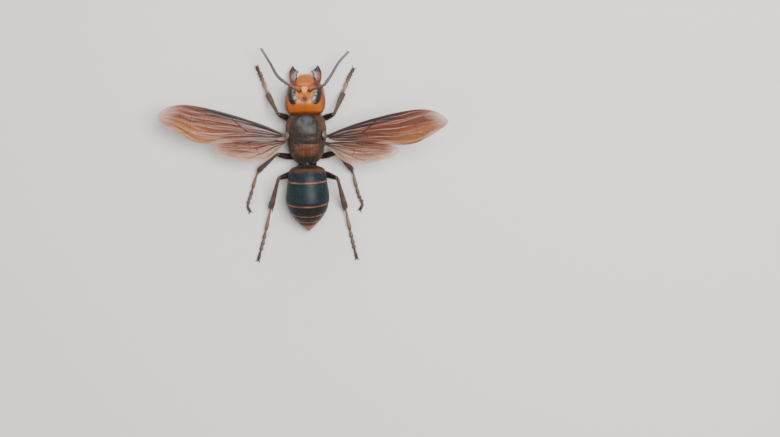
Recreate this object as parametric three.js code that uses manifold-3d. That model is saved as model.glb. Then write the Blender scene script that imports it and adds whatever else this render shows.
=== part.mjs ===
// Asian giant hornet, life size, as a still model that lies on its belly with wings and legs spread.
// Millimetres. +Z is up, the head points to -Y, and +X is the insect's own left side.
// The origin is on the ground, in the middle of the belly's flat; the shapes below are drawn about
// a point under the thorax and moved there at the end.
import * as THREE from "three";
import { mergeVertices } from "three/addons/utils/BufferGeometryUtils.js";
import Module from "manifold-3d";

const wasm = await Module();
wasm.setup();
const { Manifold } = wasm;

// Driving sizes
const GAP = 0.3; // clear space between neighbouring pieces
const HEAD_CENTRE = [0, -13.35, 6.0];
const FACE_TILT = 40; // degrees between the face and the ground
const EYE_BULGE = 0.42;
const EYE_DEPTH = 0.9;
const WING_THICKNESS = 0.5;
const VEIN_HEIGHT = 0.3;
const FOOT_LEVEL = 0; // the height of the ground
const BELLY_PLACE = 11.8; // how far the belly's flat lies behind the drawing's own zero

const COLOURS = {
  orange: [0xb8642a, 0.42],
  eye: [0x1b1512, 0.15],
  mandible: [0x6e2f18, 0.35],
  antenna: [0x4a3227, 0.5],
  thorax: [0x33251e, 0.75],
  scutellum: [0x5a3524, 0.7],
  gaster: [0x1d2a30, 0.35],
  gasterTip: [0xa9502a, 0.4],
  coxa: [0x1f1512, 0.5],
  tibia: [0x5b4331, 0.6],
  tarsus: [0x7d6445, 0.65],
  wing: [0x9a5230, 0.3],
};

const vec = (x, y, z) => new THREE.Vector3(x, y, z);
const radians = THREE.MathUtils.degToRad;
const lerp = THREE.MathUtils.lerp;

// Solids: a closed geometry becomes a Manifold and back

function toSolid(geometry) {
  const bare = geometry.index ? geometry.toNonIndexed() : geometry.clone();
  bare.deleteAttribute("normal");
  bare.deleteAttribute("uv");
  const merged = mergeVertices(bare, 1e-4);
  return new Manifold(
    new wasm.Mesh({
      numProp: 3,
      vertProperties: new Float32Array(merged.attributes.position.array),
      triVerts: new Uint32Array(merged.index.array),
    }),
  );
}

function toGeometry(solid) {
  const mesh = solid.getMesh();
  const positions = new Float32Array(mesh.numVert * 3);
  for (let i = 0; i < mesh.numVert; i++)
    positions.set(
      mesh.vertProperties.subarray(i * mesh.numProp, i * mesh.numProp + 3),
      i * 3,
    );
  const geometry = new THREE.BufferGeometry();
  geometry.setAttribute("position", new THREE.BufferAttribute(positions, 3));
  geometry.setIndex(new THREE.BufferAttribute(mesh.triVerts, 1));
  geometry.computeVertexNormals();
  return geometry;
}

// The largest closed surface of a solid, so that scraps and sealed hollows go.
function largest(solid) {
  const pieces = solid.decompose();
  return pieces.reduce((a, b) => (b.volume() > a.volume() ? b : a));
}

const cut = (solid, ...others) =>
  others.reduce((left, other) => left.subtract(other), solid);
const join = (...solids) => solids.reduce((sum, solid) => sum.add(solid));

// A closed solid from rings of equal length, each end closed by a fan to its middle.
function loft(rings) {
  const sides = rings[0].length;
  const positions = rings.flat().flatMap((p) => [p.x, p.y, p.z]);
  const triangles = [];
  for (let i = 0; i + 1 < rings.length; i++)
    for (let j = 0; j < sides; j++) {
      const a = i * sides + j;
      const b = i * sides + ((j + 1) % sides);
      triangles.push(a, b, b + sides, a, b + sides, a + sides);
    }
  for (const end of [0, rings.length - 1]) {
    const middle = rings[end]
      .reduce((sum, p) => sum.add(p), vec(0, 0, 0))
      .divideScalar(sides);
    const hub = positions.length / 3;
    positions.push(middle.x, middle.y, middle.z);
    for (let j = 0; j < sides; j++) {
      const a = end * sides + j;
      const b = end * sides + ((j + 1) % sides);
      triangles.push(...(end === 0 ? [hub, b, a] : [hub, a, b]));
    }
  }
  const geometry = new THREE.BufferGeometry();
  geometry.setAttribute(
    "position",
    new THREE.Float32BufferAttribute(positions, 3),
  );
  geometry.setIndex(triangles);
  const signed = signedVolume(positions, triangles);
  if (signed < 0) geometry.setIndex(triangles.reverse());
  return toSolid(geometry);
}

function signedVolume(positions, triangles) {
  const corner = (i) => vec(...positions.slice(3 * i, 3 * i + 3));
  let sum = 0;
  for (let i = 0; i < triangles.length; i += 3)
    sum += corner(triangles[i]).dot(
      corner(triangles[i + 1]).cross(corner(triangles[i + 2])),
    );
  return sum / 6;
}

// Values given at stations along t, joined by a smooth curve that does not overshoot.
function along(stations, t) {
  const last = stations.length - 1;
  if (t <= stations[0][0]) return stations[0].slice(1);
  if (t >= stations[last][0]) return stations[last].slice(1);
  const i = stations.findIndex((s, k) => t < stations[k + 1][0]);
  const [s0, s1] = [stations[i], stations[i + 1]];
  const before = stations[Math.max(i - 1, 0)];
  const after = stations[Math.min(i + 2, last)];
  const h = s1[0] - s0[0];
  const u = (t - s0[0]) / h;
  return s0.slice(1).map((_, k) => {
    const c = k + 1;
    const slope = (a, b) => (b[0] === a[0] ? 0 : (b[c] - a[c]) / (b[0] - a[0]));
    const bend = (left, right) => (left * right <= 0 ? 0 : (left + right) / 2);
    const mid = slope(s0, s1);
    const m0 = i === 0 ? mid : bend(slope(before, s0), mid);
    const m1 = i + 1 === last ? mid : bend(mid, slope(s1, after));
    return (
      s0[c] * (1 + 2 * u) * (1 - u) ** 2 +
      s1[c] * u * u * (3 - 2 * u) +
      h * (m0 * u * (1 - u) ** 2 - m1 * u * u * (1 - u))
    );
  });
}

// A power that keeps the sign, for rounded-box sections.
const signedPower = (value, power) =>
  Math.sign(value) * Math.abs(value) ** power;

// A limb: an elliptic section carried along a smooth path.
// Stations are [share of the length, half width, half height].
// Without steps there is a ring at each station.
function limb(path, stations, { sides = 8, steps = 0, grow = 0 } = {}) {
  const curve = new THREE.CatmullRomCurve3(
    path.map((p) => vec(...p)),
    false,
    "centripetal",
  );
  const reference = vec(0, 0, 1);
  const rings = [];
  const last = steps || stations.length - 1;
  for (let i = 0; i <= last; i++) {
    const share = steps ? i / steps : stations[i][0];
    const centre = curve.getPointAt(share);
    const forward = curve.getTangentAt(share);
    const side = vec(0, 0, 0).crossVectors(forward, reference).normalize();
    const lift = vec(0, 0, 0).crossVectors(side, forward).normalize();
    if (i === 0) centre.addScaledVector(forward, -grow);
    if (i === last) centre.addScaledVector(forward, grow);
    const [w, h] = along(stations, share);
    const ring = [];
    for (let j = 0; j < sides; j++) {
      const angle = (2 * Math.PI * j) / sides;
      ring.push(
        centre
          .clone()
          .addScaledVector(side, Math.cos(angle) * (w + grow))
          .addScaledVector(lift, Math.sin(angle) * (h + grow)),
      );
    }
    rings.push(ring);
  }
  return loft(rings);
}

// Head: ellipsoids melted together, read along rays from the middle of the head.
// Local axes: x to the side, v up the face, w out of the face.

const HEAD_PARTS = [
  // centre x, v, w, half sizes, power, mirrored
  { at: [0, 0.25, -0.35], size: [4.85, 4.75, 3.0], power: 2.5 },
  { at: [2.95, 1.5, -1.0], size: [2.2, 3.0, 2.5], power: 2.3, both: true },
  { at: [1.5, 3.3, -0.2], size: [2.4, 1.7, 2.5], power: 2.2, both: true },
  { at: [0, -3.9, 1.05], size: [2.35, 2.2, 1.5], power: 2.4 },
  { at: [1.05, -5.3, 0.7], size: [0.75, 0.8, 0.8], power: 2, both: true },
  { at: [0, 0.5, 1.9], size: [1.25, 1.7, 1.15], power: 2 },
  { at: [3.15, -2.2, -0.35], size: [1.55, 2.2, 1.9], power: 2, both: true },
];
const HEAD_BLEND = 3.2; // per millimetre, higher is a sharper seam

function headField(x, v, w) {
  let sum = 0;
  for (const part of HEAD_PARTS)
    for (const side of part.both ? [-1, 1] : [1]) {
      const [a, b, c] = part.size;
      const n = part.power;
      const q =
        Math.abs((x - side * part.at[0]) / a) ** n +
        Math.abs((v - part.at[1]) / b) ** n +
        Math.abs((w - part.at[2]) / c) ** n;
      sum += Math.exp(-HEAD_BLEND * (q ** (1 / n) - 1) * Math.min(a, b, c));
    }
  return -Math.log(sum) / HEAD_BLEND;
}

function headRadius(direction) {
  let [near, far] = [1, 9];
  for (let i = 0; i < 26; i++) {
    const mid = (near + far) / 2;
    const inside =
      headField(direction.x * mid, direction.y * mid, direction.z * mid) < 0;
    if (inside) near = mid;
    else far = mid;
  }
  return near;
}

const FACE_UP = vec(0, Math.cos(radians(FACE_TILT)), Math.sin(radians(FACE_TILT)));
const FACE_OUT = vec(0, -Math.sin(radians(FACE_TILT)), Math.cos(radians(FACE_TILT)));

// A point of the head's own frame, in the model's frame.
function fromHead(x, v, w) {
  return vec(...HEAD_CENTRE)
    .addScaledVector(vec(1, 0, 0), x)
    .addScaledVector(FACE_UP, v)
    .addScaledVector(FACE_OUT, w);
}

function headPoint(direction, offset = 0, scale = 1) {
  const d = direction.clone().normalize();
  return fromHead(
    ...d.multiplyScalar((headRadius(d) + offset) * scale).toArray(),
  );
}

function headCapsule(grow = 0, columns = 34, rows = 20) {
  const rings = [];
  for (let i = 1; i < rows; i++) {
    const polar = (Math.PI * i) / rows;
    const ring = [];
    for (let j = 0; j < columns; j++) {
      const turn = (2 * Math.PI * j) / columns;
      ring.push(
        headPoint(
          vec(
            Math.sin(polar) * Math.cos(turn),
            -Math.cos(polar),
            Math.sin(polar) * Math.sin(turn),
          ),
          grow,
        ),
      );
    }
    rings.push(ring);
  }
  return loft(rings);
}

// Eye outline as seen from above, for the left eye: a tall kidney that opens towards the middle.
const EYE_OUTLINE = [
  [4.0, -15.85],
  [4.25, -14.7],
  [4.25, -13.45],
  [4.0, -12.2],
  [3.5, -11.35],
  [2.8, -11.05],
  [2.2, -11.35],
  [1.95, -12.1],
  [2.1, -12.95],
  [2.25, -13.8],
  [2.3, -14.8],
  [2.75, -15.75],
  [3.4, -16.15],
];
const EYE_SHARES = [0.4, 0.78, 1];

// The direction from the head's middle to its upper surface over a point of the ground.
function headDirection(x, y) {
  const middle = vec(...HEAD_CENTRE);
  const local = (z) => {
    const d = vec(x, y, z).sub(middle);
    return vec(d.x, d.dot(FACE_UP), d.dot(FACE_OUT));
  };
  let [low, high] = [HEAD_CENTRE[2], HEAD_CENTRE[2] + 9];
  for (let i = 0; i < 26; i++) {
    const mid = (low + high) / 2;
    if (headField(...local(mid).toArray()) < 0) low = mid;
    else high = mid;
  }
  return local(low).normalize();
}

function eyeSolid(side, grow = 0, count = 22) {
  const flat = EYE_OUTLINE.map(([x, y]) => vec(x, y, 0));
  const outline = new THREE.CatmullRomCurve3(flat, true)
    .getSpacedPoints(count)
    .slice(0, count);
  const rim = outline.map((p, i) => {
    const way = outline[(i + 1) % count].clone().sub(outline[(i + count - 1) % count]);
    const out = vec(-way.y, way.x, 0).normalize().multiplyScalar(-grow);
    const direction = headDirection(p.x + out.x, p.y + out.y);
    return vec(side * direction.x, direction.y, direction.z);
  });
  const middle = rim.reduce((sum, d) => sum.add(d), vec(0, 0, 0)).normalize();
  const ringAt = (share, offset) =>
    rim.map((d) => headPoint(middle.clone().lerp(d, share), offset));
  const bulge = (share) => EYE_BULGE * Math.sqrt(1.05 - share * share);
  const under = EYE_SHARES.map((share) => ringAt(share, -EYE_DEPTH - grow));
  const over = EYE_SHARES.map((share) => ringAt(share, bulge(share) + grow));
  return loft([...under, ...over.reverse()]);
}

// Three ocelli in a triangle on the crown.
const OCELLI = [
  [0, -12.75],
  [0.6, -11.95],
  [-0.6, -11.95],
];

function ocelli() {
  return OCELLI.map(([x, y]) => {
    const bead = new THREE.SphereGeometry(0.34, 8, 5);
    bead.translate(...headPoint(headDirection(x, y), -0.06).toArray());
    return toSolid(bead);
  });
}

// Antennae: a stout scape, then a pedicel and flagellomeres with a waist at each joint

const SOCKET = { x: 1.4, v: 0.85, w: 3.2 };
const SCAPE_STATIONS = [
  [0, 0.3, 0.3],
  [0.08, 0.36, 0.36],
  [0.2, 0.3, 0.3],
  [0.6, 0.36, 0.36],
  [0.94, 0.42, 0.42],
  [1, 0.3, 0.3],
];
const ANTENNA = {
  left: {
    elbow: [4.3, -16.3, 9.3],
    bend: [6.75, -18.4, 8.7],
    middle: [8.8, -22.05, 7.7],
    tip: [11.15, -26.05, 6.6],
  },
  right: {
    elbow: [-5.0, -15.7, 9.3],
    bend: [-6.8, -18.2, 8.75],
    middle: [-8.95, -21.75, 7.8],
    tip: [-11.65, -24.7, 7.0],
  },
};
const FLAGELLOMERES = 11;

function socketPoint(side, offset) {
  return headPoint(vec(side * SOCKET.x, SOCKET.v, SOCKET.w), offset);
}

function flagellumStations() {
  const stations = [[0, 0.22, 0.22]];
  for (let i = 0; i < FLAGELLOMERES; i++) {
    const [start, end] = [i / FLAGELLOMERES, (i + 1) / FLAGELLOMERES];
    const radius = lerp(0.42, 0.3, start);
    const waist = i + 1 === FLAGELLOMERES ? 0.16 : radius * 0.8;
    stations.push([lerp(start, end, 0.8), radius, radius]);
    stations.push([end, waist, waist]);
  }
  return stations;
}

function antenna(sideName, side, head) {
  const way = ANTENNA[sideName];
  const root = socketPoint(side, 0.45);
  const middle = root.clone().lerp(vec(...way.elbow), 0.5).add(vec(0, 0, 0.15));
  const scapeWith = (grow) =>
    limb([root.toArray(), middle.toArray(), way.elbow], SCAPE_STATIONS, { grow });
  const flagellum = limb(
    [way.elbow, way.bend, way.middle, way.tip],
    flagellumStations(),
    { sides: 6 },
  );
  return {
    scape: largest(cut(scapeWith(0), head)),
    flagellum: largest(cut(flagellum, scapeWith(GAP))),
  };
}

// Mandibles: a broad blade with teeth on its inner edge, cut from a flat outline with bevelled faces

const MANDIBLE_OUTLINE = [
  // across from the hinge, outwards, and ahead of it
  [0.75, -0.2],
  [1.05, 1.1],
  [1.2, 2.3],
  [1.1, 3.35],
  [0.8, 4.1],
  [0.22, 4.75],
  [-0.3, 4.2],
  [-0.85, 3.75],
  [-1.6, 3.1],
  [-1.05, 2.6],
  [-1.0, 2.0],
  [-1.2, 1.45],
  [-0.75, 0.9],
  [-0.6, -0.2],
];
const MANDIBLE = {
  base: [3.1, -16.95, 3.4],
  pitch: -14, // degrees below level
  roll: 20, // the outer edge is lower than the toothed edge
  depth: 0.5,
  bevel: 0.28,
};

function mandible(side, head) {
  const shape = new THREE.Shape(
    MANDIBLE_OUTLINE.map(([x, y]) => new THREE.Vector2(x, y)),
  );
  const geometry = new THREE.ExtrudeGeometry(shape, {
    depth: MANDIBLE.depth,
    bevelEnabled: true,
    bevelThickness: MANDIBLE.bevel,
    bevelSize: MANDIBLE.bevel,
    bevelOffset: -MANDIBLE.bevel * 0.6,
    bevelSegments: 1,
  });
  geometry.translate(0, 0, -MANDIBLE.depth / 2);
  geometry.rotateY(radians(MANDIBLE.roll));
  geometry.rotateX(radians(-MANDIBLE.pitch));
  geometry.scale(1, -1, 1);
  geometry.translate(...MANDIBLE.base);
  const blade = facingOut(geometry).subtract(head);
  const whole = join(blade, mandibleHinge(0, 0.55));
  return side > 0 ? whole : whole.mirror([1, 0, 0]);
}

function mandibleHinge(grow, height) {
  const [x, y, z] = MANDIBLE.base;
  return limb(
    [
      [x - 0.1, y + 1.0, z + 0.4],
      [x, y - 0.5, z],
    ],
    [
      [0, 0.85, 0.75],
      [1, 0.8, height],
    ],
    { grow },
  );
}

// A triangle soup turned so that its faces point out.
function facingOut(geometry) {
  const positions = Array.from(geometry.getAttribute("position").array);
  const order = positions.map((_, i) => i).slice(0, positions.length / 3);
  const flipped = signedVolume(positions, order) < 0;
  if (flipped)
    for (let i = 0; i < positions.length; i += 9)
      for (let k = 0; k < 3; k++)
        [positions[i + 3 + k], positions[i + 6 + k]] = [
          positions[i + 6 + k],
          positions[i + 3 + k],
        ];
  const turned = new THREE.BufferGeometry();
  turned.setAttribute(
    "position",
    new THREE.Float32BufferAttribute(positions, 3),
  );
  return toSolid(turned);
}

// Mouthparts under the clypeus: a folded tongue with a palp on each side

const mouthPath = (reach, end) =>
  [fromHead(0, -2.4, -0.7), fromHead(0, -4.6, -0.4), fromHead(0, -reach, end - 0.2)].map(
    (p) => p.toArray(),
  );

function mouthparts() {
  const tongue = limb(
    mouthPath(5.6, 0.2),
    [
      [0, 1.1, 0.7],
      [0.5, 0.9, 0.6],
      [1, 0.4, 0.35],
    ],
  );
  const palps = [-1, 1].map((side) =>
    limb(
      [
        fromHead(side * 0.7, -3.4, -0.9).toArray(),
        fromHead(side * 1.25, -4.9, -0.9).toArray(),
        fromHead(side * 1.35, -6.3, -0.35).toArray(),
      ],
      [
        [0, 0.34, 0.34],
        [0.5, 0.27, 0.27],
        [1, 0.16, 0.16],
      ],
      { sides: 6 },
    ),
  );
  return join(tongue, ...palps);
}

// Thorax: sections along Y. Stations are [y, half width, top, bottom, height of the widest level].

const THORAX = [
  [-9.7, 1.9, 6.6, 3.4, 5.0],
  [-9.1, 3.3, 7.8, 2.3, 5.1],
  [-8.0, 4.45, 9.0, 1.4, 5.2],
  [-6.4, 5.0, 9.85, 0.95, 5.3],
  [-4.6, 5.2, 10.25, 0.85, 5.4],
  [-2.8, 5.15, 10.2, 0.85, 5.4],
  [-1.3, 4.85, 9.85, 0.9, 5.2],
  [0.0, 4.55, 9.1, 1.1, 5.0],
  [1.4, 4.25, 8.0, 1.5, 4.7],
  [2.6, 3.7, 6.9, 2.1, 4.4],
  [3.5, 2.6, 6.1, 2.8, 4.4],
  [4.0, 1.5, 5.5, 3.5, 4.5],
];
const THORAX_POWER = 2.35;
const BELLY_LEVEL = 0.9;

function thoraxBody(grow = 0, sides = 28, rings = 16) {
  const list = [];
  const [first, last] = [THORAX[0][0], THORAX.at(-1)[0]];
  for (let i = 0; i <= rings; i++) {
    const share = i / rings;
    const overshoot = i === 0 ? -grow : i === rings ? grow : 0;
    const y = lerp(first, last, (1 - Math.cos(Math.PI * share)) / 2) + overshoot;
    const [half, top, bottom, level] = along(THORAX, y);
    const ring = [];
    for (let j = 0; j < sides; j++) {
      const angle = (2 * Math.PI * j) / sides;
      const rise = Math.sin(angle) > 0 ? top - level : level - bottom;
      ring.push(
        vec(
          signedPower(Math.cos(angle), 2 / THORAX_POWER) * (half + grow),
          y,
          level + signedPower(Math.sin(angle), 2 / THORAX_POWER) * (rise + grow),
        ),
      );
    }
    list.push(ring);
  }
  return loft(list);
}

const block = (low, high) => {
  const size = high.map((h, i) => h - low[i]);
  const box = new THREE.BoxGeometry(...size);
  box.translate(...low.map((l, i) => l + size[i] / 2));
  return toSolid(box);
};

// An upright prism over an outline in the ground plane.
function prism(points, bottom, top) {
  const shape = new THREE.Shape(points.map(([x, y]) => new THREE.Vector2(x, y)));
  const geometry = new THREE.ExtrudeGeometry(shape, {
    depth: top - bottom,
    bevelEnabled: false,
  });
  geometry.translate(0, 0, bottom);
  return facingOut(geometry);
}

// The mesoscutum's outline from above: a shield, narrow in front between the arms of the collar.
const SCUTUM = { front: -8.9, back: -2.7, floor: 6.2 };
const SCUTUM_HALF = [
  // y, half width
  [-8.9, 1.3],
  [-8.2, 2.1],
  [-7.0, 3.0],
  [-5.6, 3.65],
  [-4.3, 3.8],
  [-3.3, 3.6],
  [-2.7, 2.9],
];

function scutumOutline(grow) {
  const steps = 8;
  const side = Array.from({ length: steps + 1 }, (_, i) => {
    const y = lerp(SCUTUM.front, SCUTUM.back, i / steps);
    const overshoot = i === 0 ? -grow : i === steps ? grow : 0;
    return [along(SCUTUM_HALF, y)[0] + grow, y + overshoot];
  });
  return [...side, ...side.map(([x, y]) => [-x, y]).reverse()];
}

// The scutellum and the metanotum: bands across the back.
function bandOutline(front, back, halfFront, halfBack, grow) {
  return [
    [-halfFront - grow, front - grow],
    [halfFront + grow, front - grow],
    [halfBack + grow, back + grow],
    [-halfBack - grow, back + grow],
  ];
}
const SCUTELLUM = { front: -2.45, back: -0.75, halfFront: 3.35, halfBack: 2.95, floor: 6.6 };
const METANOTUM = { front: -0.45, back: 0.45, halfFront: 2.9, halfBack: 2.65, floor: 6.4 };
const PROPODEUM_FRONT = 0.75;
const ABOVE = 12;

function thoraxPieces(head) {
  const half = GAP / 2;
  const body = cut(
    thoraxBody(),
    head,
    block([-10, -12, -3], [10, 8, BELLY_LEVEL]),
  );
  const region = (outline, floor, grow) => prism(outline(grow), floor - grow, ABOVE);
  const bandOf = (band) => (grow) =>
    bandOutline(band.front, band.back, band.halfFront, band.halfBack, grow);
  const take = (outline, floor) => body.intersect(region(outline, floor, 0));
  const clear = (outline, floor) => region(outline, floor, GAP);
  const scutum = take(scutumOutline, SCUTUM.floor);
  const scutellum = take(bandOf(SCUTELLUM), SCUTELLUM.floor).subtract(
    clear(scutumOutline, SCUTUM.floor),
  );
  const metanotum = take(bandOf(METANOTUM), METANOTUM.floor);
  const rest = cut(
    body,
    clear(scutumOutline, SCUTUM.floor),
    clear(bandOf(SCUTELLUM), SCUTELLUM.floor),
    clear(bandOf(METANOTUM), METANOTUM.floor),
  );
  const behind = (grow) =>
    block([-10, PROPODEUM_FRONT + grow, -3], [10, 10, ABOVE]);
  const propodeum = rest.intersect(behind(half));
  const ahead = rest.subtract(behind(-half));
  // The collar runs from above the front coxae up and back to the tegulae.
  const collar = (grow) => {
    const box = new THREE.BoxGeometry(24, 12, 30);
    box.translate(0, -6 + grow, 0);
    box.rotateX(radians(-38));
    box.translate(0, -5.9, 5.2);
    return toSolid(box);
  };
  return {
    pronotum: largest(ahead.intersect(collar(-half))),
    mesoscutum: largest(scutum),
    scutellum: largest(scutellum),
    metanotum: largest(metanotum),
    mesothorax: largest(ahead.subtract(collar(half))),
    propodeum: largest(propodeum),
  };
}

const TEGULA = { x: 4.7, y: -3.1, z: 8.55 };
const TEGULA_SIZE = [0.85, 1.15, 0.55]; // half width, half length, half height
const TEGULA_LEAN = 38;

function tegula(side, grow, thorax) {
  const dome = new THREE.SphereGeometry(1, 10, 6);
  dome.scale(...TEGULA_SIZE.map((size) => size + grow));
  dome.rotateY(radians(TEGULA_LEAN));
  dome.translate(TEGULA.x, TEGULA.y, TEGULA.z);
  const solid = toSolid(dome);
  const placed = side > 0 ? solid : solid.mirror([1, 0, 0]);
  return thorax ? largest(placed.subtract(thorax)) : placed;
}

// Gaster: six rings over one curved axis. Stations are [place along the axis, half width, half height].

const GASTER_AXIS = [
  [4.3, 4.9],
  [6.4, 5.1],
  [8.6, 5.1],
  [12.5, 4.95],
  [14.9, 4.65],
  [17.0, 4.1],
  [18.9, 3.2],
  [21.5, 1.7],
];
const GASTER_WIDTH = [
  // y of the section's middle, half width, half height
  [4.3, 1.05, 0.9],
  [4.7, 3.0, 2.65],
  [5.3, 4.35, 3.8],
  [6.6, 4.95, 4.5],
  [8.6, 5.2, 4.85],
  [11.0, 5.6, 5.25],
  [12.8, 5.7, 5.3],
  [14.3, 5.5, 5.05],
  [16.2, 4.85, 4.35],
  [18.1, 3.5, 3.2],
  [19.5, 2.1, 2.05],
  [20.4, 1.2, 1.3],
  [21.5, 0.18, 0.2],
];
const GASTER_LEAN = [
  // y, degrees that a section's top leans to the rear
  [4.3, 0],
  [8.6, 11],
  [14.2, 18],
  [17, 24],
  [21.5, 34],
];
// Rear edge of each ring, by the y of its middle
const RING_ENDS = [8.7, 14.2, 16.55, 18.1, 19.2, 21.5];
const RING_STEP = 0.14; // how far a ring's rear edge stands out over the next

const axisHeight = (y) => along(GASTER_AXIS, y)[0];

function gasterRing(y, proud, sides) {
  const [w, h] = along(GASTER_WIDTH, y);
  const [lean] = along(GASTER_LEAN, y);
  return Array.from({ length: sides }, (_, j) => {
    const angle = (2 * Math.PI * j) / sides;
    const rise = Math.sin(angle) * (h + proud);
    return vec(
      Math.cos(angle) * (w + proud),
      y + rise * Math.sin(radians(lean)),
      Math.max(FOOT_LEVEL, axisHeight(y) + rise * Math.cos(radians(lean))),
    );
  });
}

function gasterSegment(index, sides = 26) {
  const start = index === 0 ? GASTER_AXIS[0][0] : RING_ENDS[index - 1] + GAP;
  const end = RING_ENDS[index];
  const steps = [6, 5, 3, 2, 2, 4][index];
  const last = index + 1 === RING_ENDS.length;
  const rings = [];
  for (let i = 0; i <= steps; i++) {
    const share = i / steps;
    const place = index === 0 ? share ** 1.6 : share;
    const proud = (last ? 0 : RING_STEP * share) - 0.1;
    rings.push(gasterRing(lerp(start, end, place), proud, sides));
  }
  return loft(rings);
}

// The first two rings as one body with a margin, to keep the legs clear of them.
function gasterFront(grow, sides = 20) {
  const places = [4.3, 4.7, 5.3, 6.6, 8.6, 11, 13];
  return loft(places.map((y, i) => gasterRing(i ? y : y - grow, grow + 0.1, sides)));
}

// Legs. Joints are the hip, the end of the trochanter, the knee and the ankle; the foot goes on to the tip.

const LEGS = {
  front_left: {
    joints: [[2.2, -7.5, 2.2], [3.2, -7.4, 1.2], [7.25, -8.95, 5.6], [10.1, -14.7, 1.6]],
    foot: [[11.35, -18.3, 0.75], [12.75, -21.7, 0.5]],
    femur: 0.95,
    tibia: 0.7,
    spurs: 1,
    footWidth: 0.52,
  },
  front_right: {
    joints: [[-2.2, -7.5, 2.2], [-3.2, -7.4, 1.2], [-7.4, -8.6, 5.6], [-9.8, -14.45, 1.6]],
    foot: [[-11.15, -18.15, 0.75], [-12.5, -20.6, 0.5]],
    femur: 0.95,
    tibia: 0.7,
    spurs: 1,
    footWidth: 0.52,
  },
  middle_left: {
    joints: [[1.75, -0.4, 1.8], [3.1, 2.3, 1.0], [7.85, 1.55, 5.2], [13.15, 5.7, 1.6]],
    foot: [[14.9, 11.05, 0.75], [16.0, 14.7, 0.6], [15.55, 16.0, 0.5]],
    femur: 0.92,
    tibia: 0.64,
    spurs: 2,
    footWidth: 0.42,
  },
  middle_right: {
    joints: [[-1.75, -0.4, 1.8], [-3.1, 2.3, 1.0], [-7.85, 1.4, 5.2], [-11.75, 6.0, 1.6]],
    foot: [[-13.15, 12.25, 0.75], [-14.1, 14.9, 0.6], [-13.55, 16.15, 0.5]],
    femur: 0.92,
    tibia: 0.64,
    spurs: 2,
    footWidth: 0.42,
  },
  hind_left: {
    joints: [[1.2, 2.6, 2.3], [2.3, 5.9, 0.95], [7.4, 7.75, 6.6], [9.95, 15.6, 1.9]],
    foot: [[11.75, 22.6, 0.8], [13.6, 28.8, 0.5]],
    femur: 0.95,
    tibia: 0.74,
    spurs: 2,
    footWidth: 0.44,
  },
  hind_right: {
    joints: [[-1.2, 2.6, 2.3], [-2.3, 5.9, 0.95], [-7.95, 8.15, 6.6], [-9.7, 16.1, 1.9]],
    foot: [[-10.85, 22.35, 0.8], [-12.25, 28.9, 0.5]],
    femur: 0.95,
    tibia: 0.74,
    spurs: 2,
    footWidth: 0.44,
  },
};
const TARSOMERES = [0, 0.43, 0.59, 0.71, 0.81, 1]; // where each foot segment ends
const TARSUS_HEIGHT = 0.36; // half height; the half width is each leg's own footWidth
const CLAW = { length: 0.85, root: 0.24, tip: 0.12, spread: 0.55 };
const SPUR = { length: 1.4, root: 0.25, tip: 0.13 };

function coxa(leg, grow) {
  const [hip, end] = leg.joints;
  return limb(
    [hip, end],
    [
      [0, 1.0, 1.1],
      [0.5, 1.0, 1.0],
      [1, 0.72, 0.75],
    ],
    { grow },
  );
}

function femur(leg, grow) {
  const [, start, knee] = leg.joints;
  const middle = start.map((s, i) => (s + knee[i]) / 2 - (i === 2 ? 0.3 : 0));
  const r = leg.femur;
  return limb(
    [start, middle, knee],
    [
      [0, r * 0.62, r * 0.62],
      [0.18, r * 0.78, r * 0.8],
      [0.5, r * 0.92, r],
      [0.85, r * 0.72, r * 0.78],
      [1, r * 0.55, r * 0.55],
    ],
    { grow },
  );
}

function tibia(leg, grow) {
  const [, , knee, ankle] = leg.joints;
  const r = leg.tibia;
  const way = vec(...ankle).sub(vec(...knee)).normalize();
  const across = vec(0, 0, 0).crossVectors(way, vec(0, 0, 1)).normalize();
  const inwards = across.x * ankle[0] > 0 ? across.negate() : across;
  const below = vec(0, 0, 0).crossVectors(way, inwards).normalize();
  if (below.z > 0) below.negate();
  const spurs = [0.15, 0.9].slice(0, leg.spurs).map((turn) => {
    const aside = inwards
      .clone()
      .multiplyScalar(Math.cos(turn))
      .addScaledVector(below, Math.sin(turn));
    const root = vec(...ankle).addScaledVector(way, -0.35).addScaledVector(aside, r * 0.7);
    const tip = root
      .clone()
      .addScaledVector(way, SPUR.length)
      .addScaledVector(aside, 0.3);
    return limb(
      [root.toArray(), tip.toArray()],
      [
        [0, SPUR.root, SPUR.root],
        [1, SPUR.tip, SPUR.tip],
      ],
      { sides: 5, grow },
    );
  });
  const shaft = limb(
    [knee, ankle],
    [
      [0, r * 0.62, r * 0.62],
      [0.12, r * 0.72, r * 0.72],
      [0.55, r * 0.9, r * 0.88],
      [0.9, r * 1.1, r],
      [1, r * 0.85, r * 0.75],
    ],
    { sides: 7, grow },
  );
  return join(shaft, ...spurs);
}

function tarsusStations(width) {
  const stations = [[0, 0.28, 0.24]];
  for (let i = 0; i + 1 < TARSOMERES.length; i++) {
    const [start, end] = [TARSOMERES[i], TARSOMERES[i + 1]];
    const share = [1, 1.05, 1.1, 1.1, 0.95][i];
    const last = i + 2 === TARSOMERES.length;
    const [w, h] = [width * share, TARSUS_HEIGHT * share];
    stations.push([lerp(start, end, 0.86), w * 1.15, h]);
    stations.push([end, w * (last ? 0.8 : 0.72), h * 0.75]);
  }
  return stations;
}

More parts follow.
